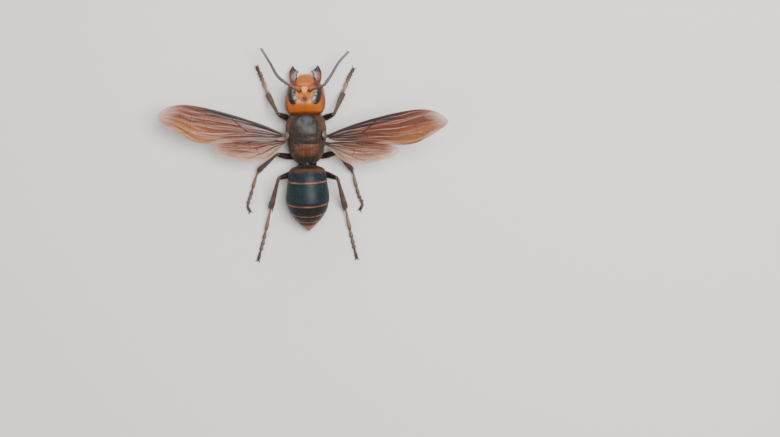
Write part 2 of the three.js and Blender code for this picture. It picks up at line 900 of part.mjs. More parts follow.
function tarsus(leg) {
  const path = [leg.joints[3], ...leg.foot];
  const foot = limb(path, tarsusStations(leg.footWidth), { sides: 7 });
  const tip = vec(...path.at(-1));
  const way = tip.clone().sub(vec(...path.at(-2))).normalize();
  const across = vec(0, 0, 0).crossVectors(way, vec(0, 0, 1)).normalize();
  const claws = [-1, 1].map((side) => {
    const root = tip.clone().addScaledVector(way, -0.25).addScaledVector(across, side * 0.12);
    const bend = tip
      .clone()
      .addScaledVector(way, 0.45)
      .addScaledVector(across, side * CLAW.spread * 0.7);
    const point = tip
      .clone()
      .addScaledVector(way, CLAW.length)
      .addScaledVector(across, side * CLAW.spread);
    bend.z = tip.z + 0.05;
    point.z = FOOT_LEVEL + 0.15;
    return limb(
      [root.toArray(), bend.toArray(), point.toArray()],
      [
        [0, CLAW.root, CLAW.root],
        [0.5, CLAW.root * 0.85, CLAW.root * 0.85],
        [1, CLAW.tip, CLAW.tip],
      ],
      { sides: 5 },
    );
  });
  // The sole under the last segment is a small flat at ground level.
  const sole = limb(
    [
      tip.clone().addScaledVector(way, -1.0).setZ(0.3).toArray(),
      tip.clone().addScaledVector(way, 0.1).setZ(0.3).toArray(),
    ],
    [
      [0, 0.3, 0.38],
      [1, 0.3, 0.38],
    ],
    { sides: 8 },
  );
  return join(foot, sole, ...claws).trimByPlane([0, 0, 1], FOOT_LEVEL);
}

function legPieces(name, thorax, gaster) {
  const leg = LEGS[name];
  const ahead = name.startsWith("hind") ? [coxa(LEGS[name.replace("hind", "middle")], GAP)] : [];
  const hip = largest(cut(coxa(leg, 0), thorax, gaster, ...ahead));
  const thigh = largest(cut(femur(leg, 0), thorax, coxa(leg, GAP), gaster));
  const shin = largest(cut(tibia(leg, 0), femur(leg, GAP)));
  const foot = largest(cut(tarsus(leg), tibia(leg, GAP)));
  return { coxa: hip, femur: thigh, tibia: shin, tarsus: foot };
}

// Wings, in the wing's own plane: u runs from the root to the tip, v towards the leading edge

const FOREWING_EDGE = [
  [0, 0.4],
  [2, 1.0],
  [5, 1.8],
  [10, 2.7],
  [14.2, 3.35],
  [19.3, 3.9],
  [24.8, 4.1],
  [27.6, 3.75],
  [30.1, 2.8],
  [31.9, 1.4],
  [32.8, 0],
  [31.9, -1.15],
  [29.4, -2.5],
  [26.2, -3.9],
  [22.6, -5.0],
  [19.0, -5.05],
  [16.2, -4.6],
  [12.6, -3.75],
  [8.5, -2.95],
  [4, -2.2],
  [1.4, -1.45],
  [0, -0.7],
];
const HINDWING_EDGE = [
  [0, 0.3],
  [4, 0.85],
  [9, 1.35],
  [13, 1.5],
  [16.6, 1.2],
  [18.8, 0.55],
  [19.5, -0.25],
  [18.4, -1.6],
  [16, -2.8],
  [12.8, -3.85],
  [9.2, -4.65],
  [6.2, -4.7],
  [3.6, -3.4],
  [1.5, -1.65],
  [0, -0.4],
];
// Veins: points in the wing's plane, with the half width at the root end and at the far end
const FOREWING_VEINS = [
  // leading edge band out to the stigma
  { way: [[0, 0.05], [5, 1.35], [10, 2.3], [14.2, 2.95], [19.2, 3.5], [21.2, 3.6]], wide: [0.36, 0.36] },
  // edge of the marginal cell
  { way: [[21.2, 3.62], [24.8, 3.8], [27.4, 3.5], [29.8, 2.65]], wide: [0.2, 0.15] },
  // stem of the middle vein, then the slanting basal vein
  { way: [[0, -0.15], [4.5, -0.35], [9, -0.5]], wide: [0.26, 0.22] },
  { way: [[9, -0.5], [11.3, 0.75], [14.3, 2.85]], wide: [0.2, 0.18] },
  // long vein above the discoidal cell, on to the outer margin
  { way: [[11.3, 0.75], [15.4, 0.25], [20.2, 0.2]], wide: [0.18, 0.17] },
  { way: [[20.2, 0.2], [23.8, 0.25], [27, 0.75], [29.2, 0.7]], wide: [0.17, 0.14] },
  // cubital vein and anal vein
  { way: [[9, -0.5], [14, -1.35], [18.6, -1.9], [24, -2.6], [25.5, -3.1]], wide: [0.2, 0.14] },
  { way: [[0.5, -0.42], [6, -1.3], [10.8, -1.9], [16.2, -3.2]], wide: [0.2, 0.14] },
  // radial sector under the marginal cell
  { way: [[20, 3.3], [20.7, 2.2], [23.8, 1.95], [26.4, 2.3], [28.4, 3.1]], wide: [0.18, 0.14] },
  // cross veins
  { way: [[20.7, 2.2], [20.2, 0.2], [18.6, -1.9]], wide: [0.15, 0.15] },
  { way: [[23.8, 1.95], [23.9, 0.25], [24, -2.6]], wide: [0.15, 0.15] },
  { way: [[26.4, 2.3], [27, 0.75]], wide: [0.15, 0.15] },
  { way: [[10, -0.75], [10.8, -1.9]], wide: [0.15, 0.15] },
];
const HINDWING_VEINS = [
  { way: [[0, 0.08], [4, 0.55], [9, 1.0], [12.6, 1.1]], wide: [0.28, 0.18] },
  { way: [[7.6, 0.85], [12.0, 0.1], [15.6, -0.3]], wide: [0.17, 0.14] },
  { way: [[0, -0.1], [4.6, -0.5], [9.2, -1.25], [14.2, -2.5]], wide: [0.22, 0.14] },
  { way: [[0.4, -0.35], [3.6, -1.35], [7.0, -2.7], [10.4, -3.6]], wide: [0.18, 0.14] },
  { way: [[9.2, -1.25], [9.6, 0.55]], wide: [0.15, 0.15] },
  { way: [[7.0, -2.7], [7.9, -0.95]], wide: [0.15, 0.15] },
];
// Angles in degrees: sweep turns the wing forward, raise lifts its tip, roll lifts its leading edge.
const WINGS = {
  forewing_left: { side: 1, root: [5.75, -3.3, 8.1], sweep: 9.6, raise: 4, roll: 3 },
  forewing_right: { side: -1, root: [-5.8, -2.8, 8.1], sweep: 4.8, raise: 20, roll: 28 },
  hindwing_left: { side: 1, root: [5.2, -1.7, 6.9], sweep: -3.8, raise: 3, roll: 4 },
  hindwing_right: { side: -1, root: [-5.2, -0.9, 6.5], sweep: -6.5, raise: 12, roll: 10 },
};

const smooth2d = (points, count) =>
  new THREE.SplineCurve(points.map(([x, y]) => new THREE.Vector2(x, y))).getSpacedPoints(count);

// A flat slab over an outline, between two heights.
function slab(points, bottom, top) {
  const shape = new THREE.Shape(points);
  const geometry = new THREE.ExtrudeGeometry(shape, {
    depth: top - bottom,
    bevelEnabled: false,
  });
  geometry.translate(0, 0, bottom);
  return facingOut(geometry);
}

function veinSlab(vein) {
  const count = Math.round((vein.way.length - 1) * 2);
  const line = smooth2d(vein.way, vein.way.length > 2 ? count : 1);
  const left = [];
  const right = [];
  line.forEach((p, i) => {
    const next = line[Math.min(i + 1, line.length - 1)];
    const previous = line[Math.max(i - 1, 0)];
    const way = next.clone().sub(previous).normalize();
    const normal = new THREE.Vector2(-way.y, way.x);
    const half = lerp(...vein.wide, i / (line.length - 1));
    left.push(p.clone().addScaledVector(normal, half));
    right.unshift(p.clone().addScaledVector(normal, -half));
  });
  return slab([...left, ...right], 0, WING_THICKNESS / 2 + VEIN_HEIGHT);
}

function wing(spec, outline, veins) {
  const edge = smooth2d(outline, outline.length * 2);
  const half = WING_THICKNESS / 2;
  const membrane = slab(edge, -half, half);
  const flat = join(membrane, ...veins.map(veinSlab));
  const outwards = vec(
    spec.side * Math.cos(radians(spec.sweep)) * Math.cos(radians(spec.raise)),
    -Math.sin(radians(spec.sweep)) * Math.cos(radians(spec.raise)),
    Math.sin(radians(spec.raise)),
  );
  const ahead = vec(0, -Math.cos(radians(spec.roll)), Math.sin(radians(spec.roll)));
  ahead.addScaledVector(outwards, -ahead.dot(outwards)).normalize();
  const above = vec(0, 0, 0).crossVectors(outwards, ahead);
  if (above.z < 0) above.negate();
  const frame = new THREE.Matrix4().makeBasis(outwards, ahead, above);
  frame.setPosition(...spec.root);
  return flat.transform(frame.elements);
}

// Assembly

const hornet = new THREE.Group();

function add(name, solid, finish) {
  const [colour, roughness] = COLOURS[finish];
  const material = new THREE.MeshStandardMaterial({
    color: colour,
    roughness,
    metalness: 0,
  });
  const mesh = new THREE.Mesh(toGeometry(solid.translate([0, -BELLY_PLACE, 0])), material);
  mesh.name = name;
  hornet.add(mesh);
}

const headSolid = headCapsule();
const headGrown = headCapsule(GAP);
const sides = [
  ["left", 1],
  ["right", -1],
];
const thoraxGrown = thoraxBody(GAP);
const sockets = sides.map(([, side]) => {
  const hollow = new THREE.SphereGeometry(0.75, 8, 6);
  hollow.translate(...socketPoint(side, 0.35).toArray());
  return toSolid(hollow);
});
// Room in the head for the mandible hinges and the mouthparts, with the gap.
const mandibleRooms = sides.map(([, side]) => {
  const room = mandibleHinge(GAP, 0.9);
  return side > 0 ? room : room.mirror([1, 0, 0]);
});
const mouthRoom = limb(
  mouthPath(6.5, 0.2),
  [
    [0, 1.1, 0.7],
    [0.5, 1.65, 0.85],
    [1, 1.9, 0.9],
  ],
  { grow: GAP },
);
const eyeRooms = sides.map(([, side]) => eyeSolid(side, GAP));
const skull = cut(
  headSolid,
  ...eyeRooms,
  ...sockets,
  ...mandibleRooms,
  mouthRoom,
);
add("head", largest(join(skull, ...ocelli())), "orange");

for (const [sideName, side] of sides) {
  add("eye_" + sideName, eyeSolid(side), "eye");
  const { scape, flagellum } = antenna(sideName, side, headCapsule(0.15));
  add("antenna_" + sideName + "_scape", scape, "antenna");
  add("antenna_" + sideName + "_flagellum", flagellum, "antenna");
  add("mandible_" + sideName, mandible(side, headGrown), "mandible");
}
add("mouthparts", largest(cut(mouthparts(), ...mandibleRooms)), "mandible");

const thoraxSolids = thoraxPieces(headGrown);
for (const [name, solid] of Object.entries(thoraxSolids))
  add(name, solid, name === "scutellum" || name === "metanotum" ? "scutellum" : "thorax");

for (const [sideName, side] of sides)
  add("tegula_" + sideName, tegula(side, 0, thoraxGrown), "scutellum");

const gasterSolids = RING_ENDS.map((_, i) => gasterSegment(i));
const gasterGrown = gasterFront(GAP);
gasterSolids[0] = largest(gasterSolids[0].subtract(thoraxGrown));
gasterSolids.forEach((solid, i) =>
  add("gaster_" + (i + 1), solid, i === 5 ? "gasterTip" : "gaster"),
);

for (const name of Object.keys(LEGS)) {
  const pieces = legPieces(name, thoraxGrown, gasterGrown);
  add("leg_" + name + "_coxa", pieces.coxa, "coxa");
  add("leg_" + name + "_femur", pieces.femur, "coxa");
  add("leg_" + name + "_tibia", pieces.tibia, "tibia");
  add("leg_" + name + "_tarsus", pieces.tarsus, "tarsus");
}

for (const [name, spec] of Object.entries(WINGS)) {
  const fore = name.startsWith("fore");
  const blade = fore
    ? wing(spec, FOREWING_EDGE, FOREWING_VEINS)
    : wing(spec, HINDWING_EDGE, HINDWING_VEINS);
  add(name, largest(cut(blade, thoraxGrown, tegula(spec.side, GAP))), "wing");
}

export default hornet;
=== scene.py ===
import math
import bpy
import numpy as np
from mathutils import Matrix, Vector


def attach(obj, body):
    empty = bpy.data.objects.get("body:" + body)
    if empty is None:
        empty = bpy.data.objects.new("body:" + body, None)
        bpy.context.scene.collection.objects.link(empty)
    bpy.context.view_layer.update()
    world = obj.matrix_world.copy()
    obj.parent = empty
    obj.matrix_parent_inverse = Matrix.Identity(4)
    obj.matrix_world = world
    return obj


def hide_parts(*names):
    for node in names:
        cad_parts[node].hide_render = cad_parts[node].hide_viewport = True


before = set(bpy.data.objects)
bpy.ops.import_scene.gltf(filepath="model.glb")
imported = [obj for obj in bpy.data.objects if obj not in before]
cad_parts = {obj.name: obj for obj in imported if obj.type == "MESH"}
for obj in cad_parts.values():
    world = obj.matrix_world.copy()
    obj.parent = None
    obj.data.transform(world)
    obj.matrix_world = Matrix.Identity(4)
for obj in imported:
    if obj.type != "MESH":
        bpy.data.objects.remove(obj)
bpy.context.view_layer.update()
print("frame loaded")

# Shapes are drawn in millimetres about a point under the thorax, as in the part's own drawing,
# and moved to the frame's origin, in metres, when a mesh is made.
drawing = {
    "bellyPlace": 11.8,  # the frame's origin lies this far to the rear of the drawing's
    "faceTilt": 40.0,  # degrees that the face leans up from level
    "headCentre": (0.0, -13.35, 6.0),
}
bothSides = (("left", 1), ("right", -1))


# Camera and studio

camera = {
    "lookAt": (-21.25, 18.84, 5.0),  # the middle of the picture, in drawing millimetres
    "distance": 400.0,
    "pictureWidth": 202.8,  # millimetres that the picture spans at the body's level
    "roll": 1.35,  # degrees
    "sensorWidth": 36.0,
    "clip": (0.01, 20.0),
}
studio = {
    "floorColour": (0.74, 0.71, 0.68),
    "floorRoughness": 0.9,
    "floorReach": 1.2,
    "worldColour": (0.86, 0.92, 1.0),
    "worldStrength": 0.3,
    "lights": {
        # place in metres, size, watts, colour; each looks at the hornet
        "keyLight": ((-0.14, -0.05, 0.4), (0.26, 0.24), 3.2, (1, 0.98, 0.95)),
        "fillLight": ((0.3, 0.12, 0.3), (0.35, 0.35), 0.45, (0.9, 0.95, 1)),
        "skyLight": ((0, -0.42, 0.17), (0.5, 0.2), 1.4, (0.86, 0.94, 1)),
    },
}


def makeCamera():
    # Looks straight down on the middle of the picture, turned about its own axis by the roll.
    turn = math.radians(camera["roll"])
    data = bpy.data.cameras.new("viewCamera")
    data.sensor_fit = "HORIZONTAL"
    data.sensor_width = camera["sensorWidth"]
    data.lens = camera["sensorWidth"] * camera["distance"] / camera["pictureWidth"]
    data.clip_start, data.clip_end = camera["clip"]
    obj = bpy.data.objects.new("viewCamera", data)
    bpy.context.scene.collection.objects.link(obj)
    x, y, z = camera["lookAt"]
    place = (x / 1000, (y - drawing["bellyPlace"]) / 1000, (z + camera["distance"]) / 1000)
    right = (-math.cos(turn), math.sin(turn), 0.0)
    up = (-math.sin(turn), -math.cos(turn), 0.0)
    out = (0.0, 0.0, 1.0)
    rows = [[right[i], up[i], out[i], place[i]] for i in range(3)]
    obj.matrix_world = Matrix(rows + [[0, 0, 0, 1]])
    bpy.context.scene.camera = obj


def areaLight(name, place, size, power, colour):
    # A soft rectangle of light that faces the origin and isn't seen itself.
    data = bpy.data.lights.new(name, "AREA")
    data.shape = "RECTANGLE"
    data.size, data.size_y = size
    data.energy = power
    data.color = colour
    obj = bpy.data.objects.new(name, data)
    obj.location = place
    obj.rotation_euler = (-Vector(place)).to_track_quat("-Z", "Y").to_euler()
    obj.visible_camera = False
    bpy.context.scene.collection.objects.link(obj)


def makeStudio():
    # A weak even sky, the lights, and a pale floor at the height of the feet.
    world = bpy.data.worlds.new("studioWorld")
    bpy.context.scene.world = world
    world.use_nodes = True
    back = world.node_tree.nodes["Background"]
    back.inputs["Color"].default_value = (*studio["worldColour"], 1)
    back.inputs["Strength"].default_value = studio["worldStrength"]
    for name, light in studio["lights"].items():
        areaLight(name, *light)
    mesh = bpy.data.meshes.new("floor")
    reach = studio["floorReach"]
    corners = [(x * reach, y * reach, 0) for x, y in ((-1, -1), (1, -1), (1, 1), (-1, 1))]
    mesh.from_pydata(corners, [], [(0, 1, 2, 3)])
    floor = bpy.data.objects.new("floor", mesh)
    bpy.context.scene.collection.objects.link(floor)
    material = bpy.data.materials.new("floorPaper")
    material.use_nodes = True
    bsdf = material.node_tree.nodes["Principled BSDF"]
    bsdf.inputs["Base Color"].default_value = (*studio["floorColour"], 1)
    bsdf.inputs["Roughness"].default_value = studio["floorRoughness"]
    floor.data.materials.append(material)


makeCamera()
makeStudio()
print("camera and studio ready")


# Curves and grids

curves = {
    "between": 40,  # points that a path reads between two of its knots
    "tubePoints": 200,  # points on the line that a tube follows
}


def along(stations, t):
    # Smooth values between stations [t, a, b ...]: cubic pieces whose slope is the mean of the
    # two neighbours' slopes, or level where they differ in sign.
    table = np.asarray(stations, float)
    x = table[:, 0]
    y = table[:, 1:]
    mid = np.diff(y, axis=0) / np.diff(x)[:, None]
    slope = np.empty_like(y)
    slope[0] = mid[0]
    slope[-1] = mid[-1]
    slope[1:-1] = np.where(mid[:-1] * mid[1:] <= 0, 0, (mid[:-1] + mid[1:]) / 2)
    t = np.clip(np.asarray(t, float), x[0], x[-1])
    i = np.clip(np.searchsorted(x, t, side="right") - 1, 0, len(x) - 2)
    h = (x[i + 1] - x[i])[..., None]
    u = ((t - x[i]) / (x[i + 1] - x[i]))[..., None]
    return (y[i] * (1 + 2 * u) * (1 - u) ** 2 + y[i + 1] * u * u * (3 - 2 * u)
            + h * (slope[i] * u * (1 - u) ** 2 - slope[i + 1] * u * u * (1 - u)))


def readLine(line, knots, at):
    # The line's place at each value of at, straight between its points, which stand at the knots.
    return np.stack([np.interp(at, knots, line[:, k]) for k in range(line.shape[1])], axis=1)


def smoothPath(points, count, closed=False):
    # A curve through the points, each piece the cubic of Catmull and Rom with knots at the square
    # root of the spacing, then spaced evenly by length.
    p = np.asarray(points, float)
    if len(p) == 2:
        return p[0] + (p[1] - p[0]) * np.linspace(0, 1, count)[:, None]
    if closed:
        p = np.concatenate([p[-1:], p, p[:2]])
    else:
        p = np.concatenate([2 * p[:1] - p[1:2], p, 2 * p[-1:] - p[-2:-1]])
    knots = np.concatenate([[0], np.cumsum(np.sqrt(np.linalg.norm(np.diff(p, axis=0), axis=1)) + 1e-9)])
    pieces = []
    for k in range(1, len(p) - 2):
        t = np.linspace(knots[k], knots[k + 1], curves["between"], endpoint=False)[:, None]

        def mix(a, b, i, j):
            return a * (knots[j] - t) / (knots[j] - knots[i]) + b * (t - knots[i]) / (knots[j] - knots[i])

        a1 = mix(p[k - 1], p[k], k - 1, k)
        a2 = mix(p[k], p[k + 1], k, k + 1)
        a3 = mix(p[k + 1], p[k + 2], k + 1, k + 2)
        b1 = mix(a1, a2, k - 1, k + 1)
        b2 = mix(a2, a3, k, k + 2)
        pieces.append(mix(b1, b2, k, k + 1))
    line = np.concatenate(pieces + [p[-2:-1]])
    length = np.concatenate([[0], np.cumsum(np.linalg.norm(np.diff(line, axis=0), axis=1))])
    places = np.linspace(0, length[-1], count + 1)[:-1] if closed else np.linspace(0, length[-1], count)
    return readLine(line, length, places)


def unit(v):
    # v / |v|
    return v / np.maximum(np.linalg.norm(v, axis=-1, keepdims=True), 1e-12)


def signedPower(value, power):
    # sign(value) |value|^power
    return np.sign(value) * np.abs(value) ** power


def turns(count):
    # 2 pi k / count for each k below count
    return np.linspace(0, 2 * math.pi, count, endpoint=False)


def turned(a, b, degrees):
    # (a cos t + b sin t, b cos t - a sin t)
    t = math.radians(degrees)
    return a * math.cos(t) + b * math.sin(t), -a * math.sin(t) + b * math.cos(t)


def mirror(points, side):
    # (side x, y, z)
    return np.asarray(points) * np.array([side, 1, 1])


def gridNormals(points):
    # Outward normals of a grid closed along its columns: the cross product of its two slopes.
    across = np.roll(points, -1, axis=1) - np.roll(points, 1, axis=1)
    down = np.gradient(points, axis=0)
    normal = unit(np.cross(across, down))
    middle = points.mean(axis=1, keepdims=True)
    if np.sum(normal * (points - middle)) < 0:
        normal = -normal
    return normal


def lineDistance(points, line, closed=False):
    # Distance from each point to a line of many short pieces, and where along the line, 0 to 1.
    ends = np.roll(line, -1, axis=0) if closed else line[1:]
    starts = line if closed else line[:-1]
    best = np.full(points.shape[:-1], 1e9)
    share = np.zeros(points.shape[:-1])
    for k, (a, b) in enumerate(zip(starts, ends)):
        ab = b - a
        t = np.clip(((points - a) @ ab) / max(ab @ ab, 1e-12), 0, 1)
        d = np.linalg.norm(points - (a + t[..., None] * ab), axis=-1)
        near = d < best
        best = np.where(near, d, best)
        share = np.where(near, (k + t) / len(starts), share)
    return best, share


def insideOutline(points, line):
    # True where a ray to the right crosses the outline an odd number of times.
    inside = np.zeros(points.shape[:-1], bool)
    for a, b in zip(line, np.roll(line, -1, axis=0)):
        spans = (a[1] > points[..., 1]) != (b[1] > points[..., 1])
        rise = b[1] - a[1]
        x = a[0] + (points[..., 1] - a[1]) * (b[0] - a[0]) / (rise if rise else 1e-12)
        inside ^= spans & (points[..., 0] < x)
    return inside


def bell(value, width):
    # e^(-(value / width)^2)
    return np.exp(-((value / width) ** 2))


def step(value, low, high):
    # 0 below low, 1 above high and 3 u^2 - 2 u^3 between them, where u is the share of the way.
    u = np.clip((value - low) / (high - low), 0, 1)
    return u * u * (3 - 2 * u)


def tube(path, stations, sides=20, rings=24, roundness=1.0, up=(0, 0, 1), **marks):
    # A profile carried along a path: at share s the ring is centre(s) + side cos(a) w(s)
    # + lift sin(a) h(s), rounded off at both ends like a ball of the end's own radius.
    share = (1 - np.cos(np.linspace(0, math.pi, rings))) / 2
    count = curves["tubePoints"]
    line = smoothPath(path, count)
    knots = np.arange(count)
    at = share * (count - 1)
    centre = readLine(line, knots, at)
    way = unit(readLine(unit(np.gradient(line, axis=0)), knots, at))
    side = unit(np.cross(way, np.asarray(up, float)))
    lift = np.cross(side, way)
    size = along(stations, share)
    length = np.sum(np.linalg.norm(np.diff(line, axis=0), axis=1))
    for end, place in ((0, share), (-1, 1 - share)):
        radius = max(size[end].min() * roundness, 1e-4)
        u = np.clip(place * length / radius, 0.0, 1.0)
        size = size * np.sqrt(np.clip(1 - (1 - u) ** 2, 0.0004, 1))[:, None]
    angle = turns(sides)
    points = (centre[:, None] + side[:, None] * (np.cos(angle)[None, :, None] * size[:, None, :1])
              + lift[:, None] * (np.sin(angle)[None, :, None] * size[:, None, 1:2]))
    return {"points": points, "share": np.repeat(share[:, None], sides, axis=1), **marks}


def makeObject(name, shells, nodes, material):
    # Shells are grids closed along their columns, each end closed by a fan to its middle.
    places, quads, tris, quadMaps, triMaps = [], [], [], [], []
    marks = {}
    start = 0
    keys = sorted({key for shell in shells for key in shell if key not in ("points", "share")})
    for shell in shells:
        grid = shell["points"]
        rows, cols = grid.shape[:2]
        index = np.arange(rows * cols).reshape(rows, cols) + start
        right = np.roll(index, -1, axis=1)
        face = np.stack([index[:-1], right[:-1], right[1:], index[1:]], axis=-1).reshape(-1, 4)
        hubs = start + rows * cols
        top = np.stack([np.full(cols, hubs), right[0], index[0]], axis=-1)
        bottom = np.stack([np.full(cols, hubs + 1), index[-1], right[-1]], axis=-1)
        ends = np.stack([grid[0].mean(axis=0), grid[-1].mean(axis=0)])
        flat = np.concatenate([grid.reshape(-1, 3), ends])
        a, b, c, d = (flat[face[:, k] - start] for k in range(4))
        middle = flat.mean(axis=0)
        twice = np.cross(b - a, c - a) + np.cross(c - a, d - a)
        volume = np.sum(twice * (a - middle))  # below nothing where the faces look inwards
        u, v = np.meshgrid(np.arange(cols + 1) / cols, np.linspace(0, 1, rows))
        uv = np.stack([u, v], axis=-1)
        cells = [uv[:-1, :-1], uv[:-1, 1:], uv[1:, 1:], uv[1:, :-1]]
        faceMap = np.stack(cells, axis=2).reshape(-1, 4, 2)
        middleMap = (uv[0, :-1] + uv[0, 1:]) / 2
        topMap = np.stack([middleMap, uv[0, 1:], uv[0, :-1]], axis=1)
        endMap = (uv[-1, :-1] + uv[-1, 1:]) / 2
        bottomMap = np.stack([endMap, uv[-1, :-1], uv[-1, 1:]], axis=1)
        fans = np.concatenate([top, bottom])
        fanMaps = np.concatenate([topMap, bottomMap])
        if volume < 0:
            face, faceMap = face[:, ::-1], faceMap[:, ::-1]
            fans, fanMaps = fans[:, ::-1], fanMaps[:, ::-1]
        quads.append(face)
        tris.append(fans)
        quadMaps.append(faceMap)
        triMaps.append(fanMaps)
        places.append(flat)
        for key in keys:
            value = np.broadcast_to(np.asarray(shell.get(key, 0.0), float), (rows, cols))
            tips = [value[0].mean(), value[-1].mean()]
            marks.setdefault(key, []).append(np.concatenate([value.ravel(), tips]))
        start += len(flat)
    marks = {key: np.concatenate(value) for key, value in marks.items()}
    maps = np.concatenate([np.concatenate(part).reshape(-1, 2) for part in (quadMaps, triMaps)])
    finishObject(name, np.concatenate(places), np.concatenate(quads), np.concatenate(tris),
                 marks, {"UVMap": maps}, nodes, material)


def finishObject(name, places, quads, tris, marks, maps, nodes, material):
    # Points in drawing millimetres and faces as arrays become one object in metres.
    mesh = bpy.data.meshes.new(name)
    metres = (places - np.array([0, drawing["bellyPlace"], 0])) / 1000
    mesh.vertices.add(len(metres))
    mesh.vertices.foreach_set("co", metres.ravel())
    loops = np.concatenate([quads.ravel(), tris.ravel()]).astype(np.int32)
    total = np.concatenate([np.full(len(quads), 4), np.full(len(tris), 3)]).astype(np.int32)
    mesh.loops.add(len(loops))
    mesh.loops.foreach_set("vertex_index", loops)
    mesh.polygons.add(len(total))
    starts = np.concatenate([[0], np.cumsum(total)[:-1]]).astype(np.int32)
    mesh.polygons.foreach_set("loop_start", starts)
    mesh.polygons.foreach_set("loop_total", total)
    mesh.polygons.foreach_set("use_smooth", np.ones(len(total), bool))
    for key, value in marks.items():
        layer = mesh.attributes.new(key, "FLOAT", "POINT")
        layer.data.foreach_set("value", value.astype(np.float32))
    for key, value in maps.items():
        layer = mesh.uv_layers.new(name=key)
        layer.data.foreach_set("uv", value.astype(np.float32).ravel())
    mesh.update(calc_edges=True)
    mesh.validate()
    obj = bpy.data.objects.new(name, mesh)
    bpy.context.scene.collection.objects.link(obj)
    obj.data.materials.append(material)
    if nodes:
        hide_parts(*nodes)
    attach(obj, "root")


# Materials

def newMaterial(name):
    # A material with its node tree and its one shader.
    material = bpy.data.materials.new(name)
    material.use_nodes = True
    tree = material.node_tree
    return material, tree, tree.nodes["Principled BSDF"]


def setInputs(tree, node, values):
    # Links an output to its socket and sets a plain value; a colour of three numbers gets its fourth.
    for key, value in values.items():
        socket = node.inputs[key]
        if isinstance(value, bpy.types.NodeSocket):
            tree.links.new(value, socket)
        elif socket.type == "RGBA" and isinstance(value, tuple):
            socket.default_value = (*value, 1)[:4]
        else:
            socket.default_value = value


def addNode(tree, kind, inputs, **settings):
    # A new node with its settings, then its sockets' values or links.
    node = tree.nodes.new(kind)
    for key, value in settings.items():
        setattr(node, key, value)
    setInputs(tree, node, inputs)
    return node


def mixColour(tree, mask, first, second, blend="MIX"):
    # The Mix node's colour sockets are inputs 6 and 7 and output 2.
    node = addNode(tree, "ShaderNodeMix", {}, data_type="RGBA", blend_type=blend)
    setInputs(tree, node, {0: mask, 6: first, 7: second})
    return node.outputs[2]


def calculate(tree, operation, first, second=0.0, clamp=False):
    # first and second, joined by the Math node's operation
    node = addNode(tree, "ShaderNodeMath", {0: first, 1: second}, operation=operation, use_clamp=clamp)
    return node.outputs[0]


def multiply(tree, first, second):
    # first x second
    return calculate(tree, "MULTIPLY", first, second)


def add(tree, first, second, clamp=False):
    # first + second
    return calculate(tree, "ADD", first, second, clamp)


def spread(tree, value, low, high):
    # The share of the way from low to high, held between 0 and 1.
    inputs = {"Value": value, "From Min": low, "From Max": high}
    return addNode(tree, "ShaderNodeMapRange", inputs).outputs[0]


def readMark(tree, name):
    # A grid's own mark, kept at each of its points.
    return addNode(tree, "ShaderNodeAttribute", {}, attribute_name=name).outputs["Fac"]


def paintMarks(tree, base, colours, names):
    # Lays each mark's colour over the base in turn, as strongly as the mark says.
    for name in names:
        base = mixColour(tree, readMark(tree, name), base, colours[name])
    return base


def bump(tree, height, distance, strength):
    # The surface's own normal, tilted by the slope of the height.
    inputs = {"Height": height, "Distance": distance, "Strength": strength}
    return addNode(tree, "ShaderNodeBump", inputs).outputs["Normal"]


skinPattern = {
    "pitSize": 2.4,
    "cloudRange": (0.32, 0.68),
    "unevenScale": 5.0,  # against the clouds
    "unevenDepth": 0.35,
    "speckScale": 0.35,  # against the pits
    "speckRange": (0.17, 0.09),
    "speckShare": 0.72,
}


def makeSkinGroup():
    # Fine pits, a slow unevenness, a cloudy tone and a few pale specks for every hard skin: dust, and
    # painted glints of light on the fine hairs.
    group = bpy.data.node_groups.new("hardSkin", "ShaderNodeTree")
    group.interface.new_socket(name="Vector", in_out="INPUT", socket_type="NodeSocketVector")
    for name, value in (("Pit Scale", 4000.0), ("Pit Depth", 0.5), ("Cloud Scale", 350.0)):
        socket = group.interface.new_socket(name=name, in_out="INPUT", socket_type="NodeSocketFloat")
        socket.default_value = value
    for name in ("Height", "Cloud", "Pits", "Specks"):
        group.interface.new_socket(name=name, in_out="OUTPUT", socket_type="NodeSocketFloat")
    source = group.nodes.new("NodeGroupInput").outputs
    result = group.nodes.new("NodeGroupOutput")

    def pattern(kind, scale, **inputs):
        values = {"Vector": source["Vector"], "Scale": scale, **inputs}
        return addNode(group, "ShaderNodeTex" + kind, values).outputs

    pits = pattern("Voronoi", source["Pit Scale"])
    pitShape = calculate(group, "MINIMUM", multiply(group, pits["Distance"], skinPattern["pitSize"]), 1.0)
    cloud = pattern("Noise", source["Cloud Scale"], Detail=6.0, Roughness=0.6)
    unevenScale = multiply(group, source["Cloud Scale"], skinPattern["unevenScale"])
    uneven = pattern("Noise", unevenScale, Detail=3.0)
    dots = pattern("Voronoi", multiply(group, source["Pit Scale"], skinPattern["speckScale"]))
    near = spread(group, dots["Distance"], *skinPattern["speckRange"])
    chosen = addNode(group, "ShaderNodeSeparateColor", {"Color": dots["Color"]}).outputs[0]
    few = calculate(group, "GREATER_THAN", chosen, skinPattern["speckShare"])
    pitDepth = multiply(group, pitShape, source["Pit Depth"])
    setInputs(group, result, {
        "Height": add(group, pitDepth, multiply(group, uneven["Fac"], skinPattern["unevenDepth"])),
        "Cloud": spread(group, cloud["Fac"], *skinPattern["cloudRange"]),
        "Pits": pitShape,
        "Specks": multiply(group, near, few),
    })
    return group


skinGroup = makeSkinGroup()


def useSkin(tree, pitScale, pitDepth, cloudScale):
    # The hard skin's height, cloudy tone, pits and specks, over the object's own coordinates.
    place = addNode(tree, "ShaderNodeTexCoord", {}).outputs["Object"]
    node = addNode(tree, "ShaderNodeGroup", {}, node_tree=skinGroup)
    setInputs(tree, node, {"Vector": place, "Pit Scale": pitScale, "Pit Depth": pitDepth,
                           "Cloud Scale": cloudScale})
    return node.outputs


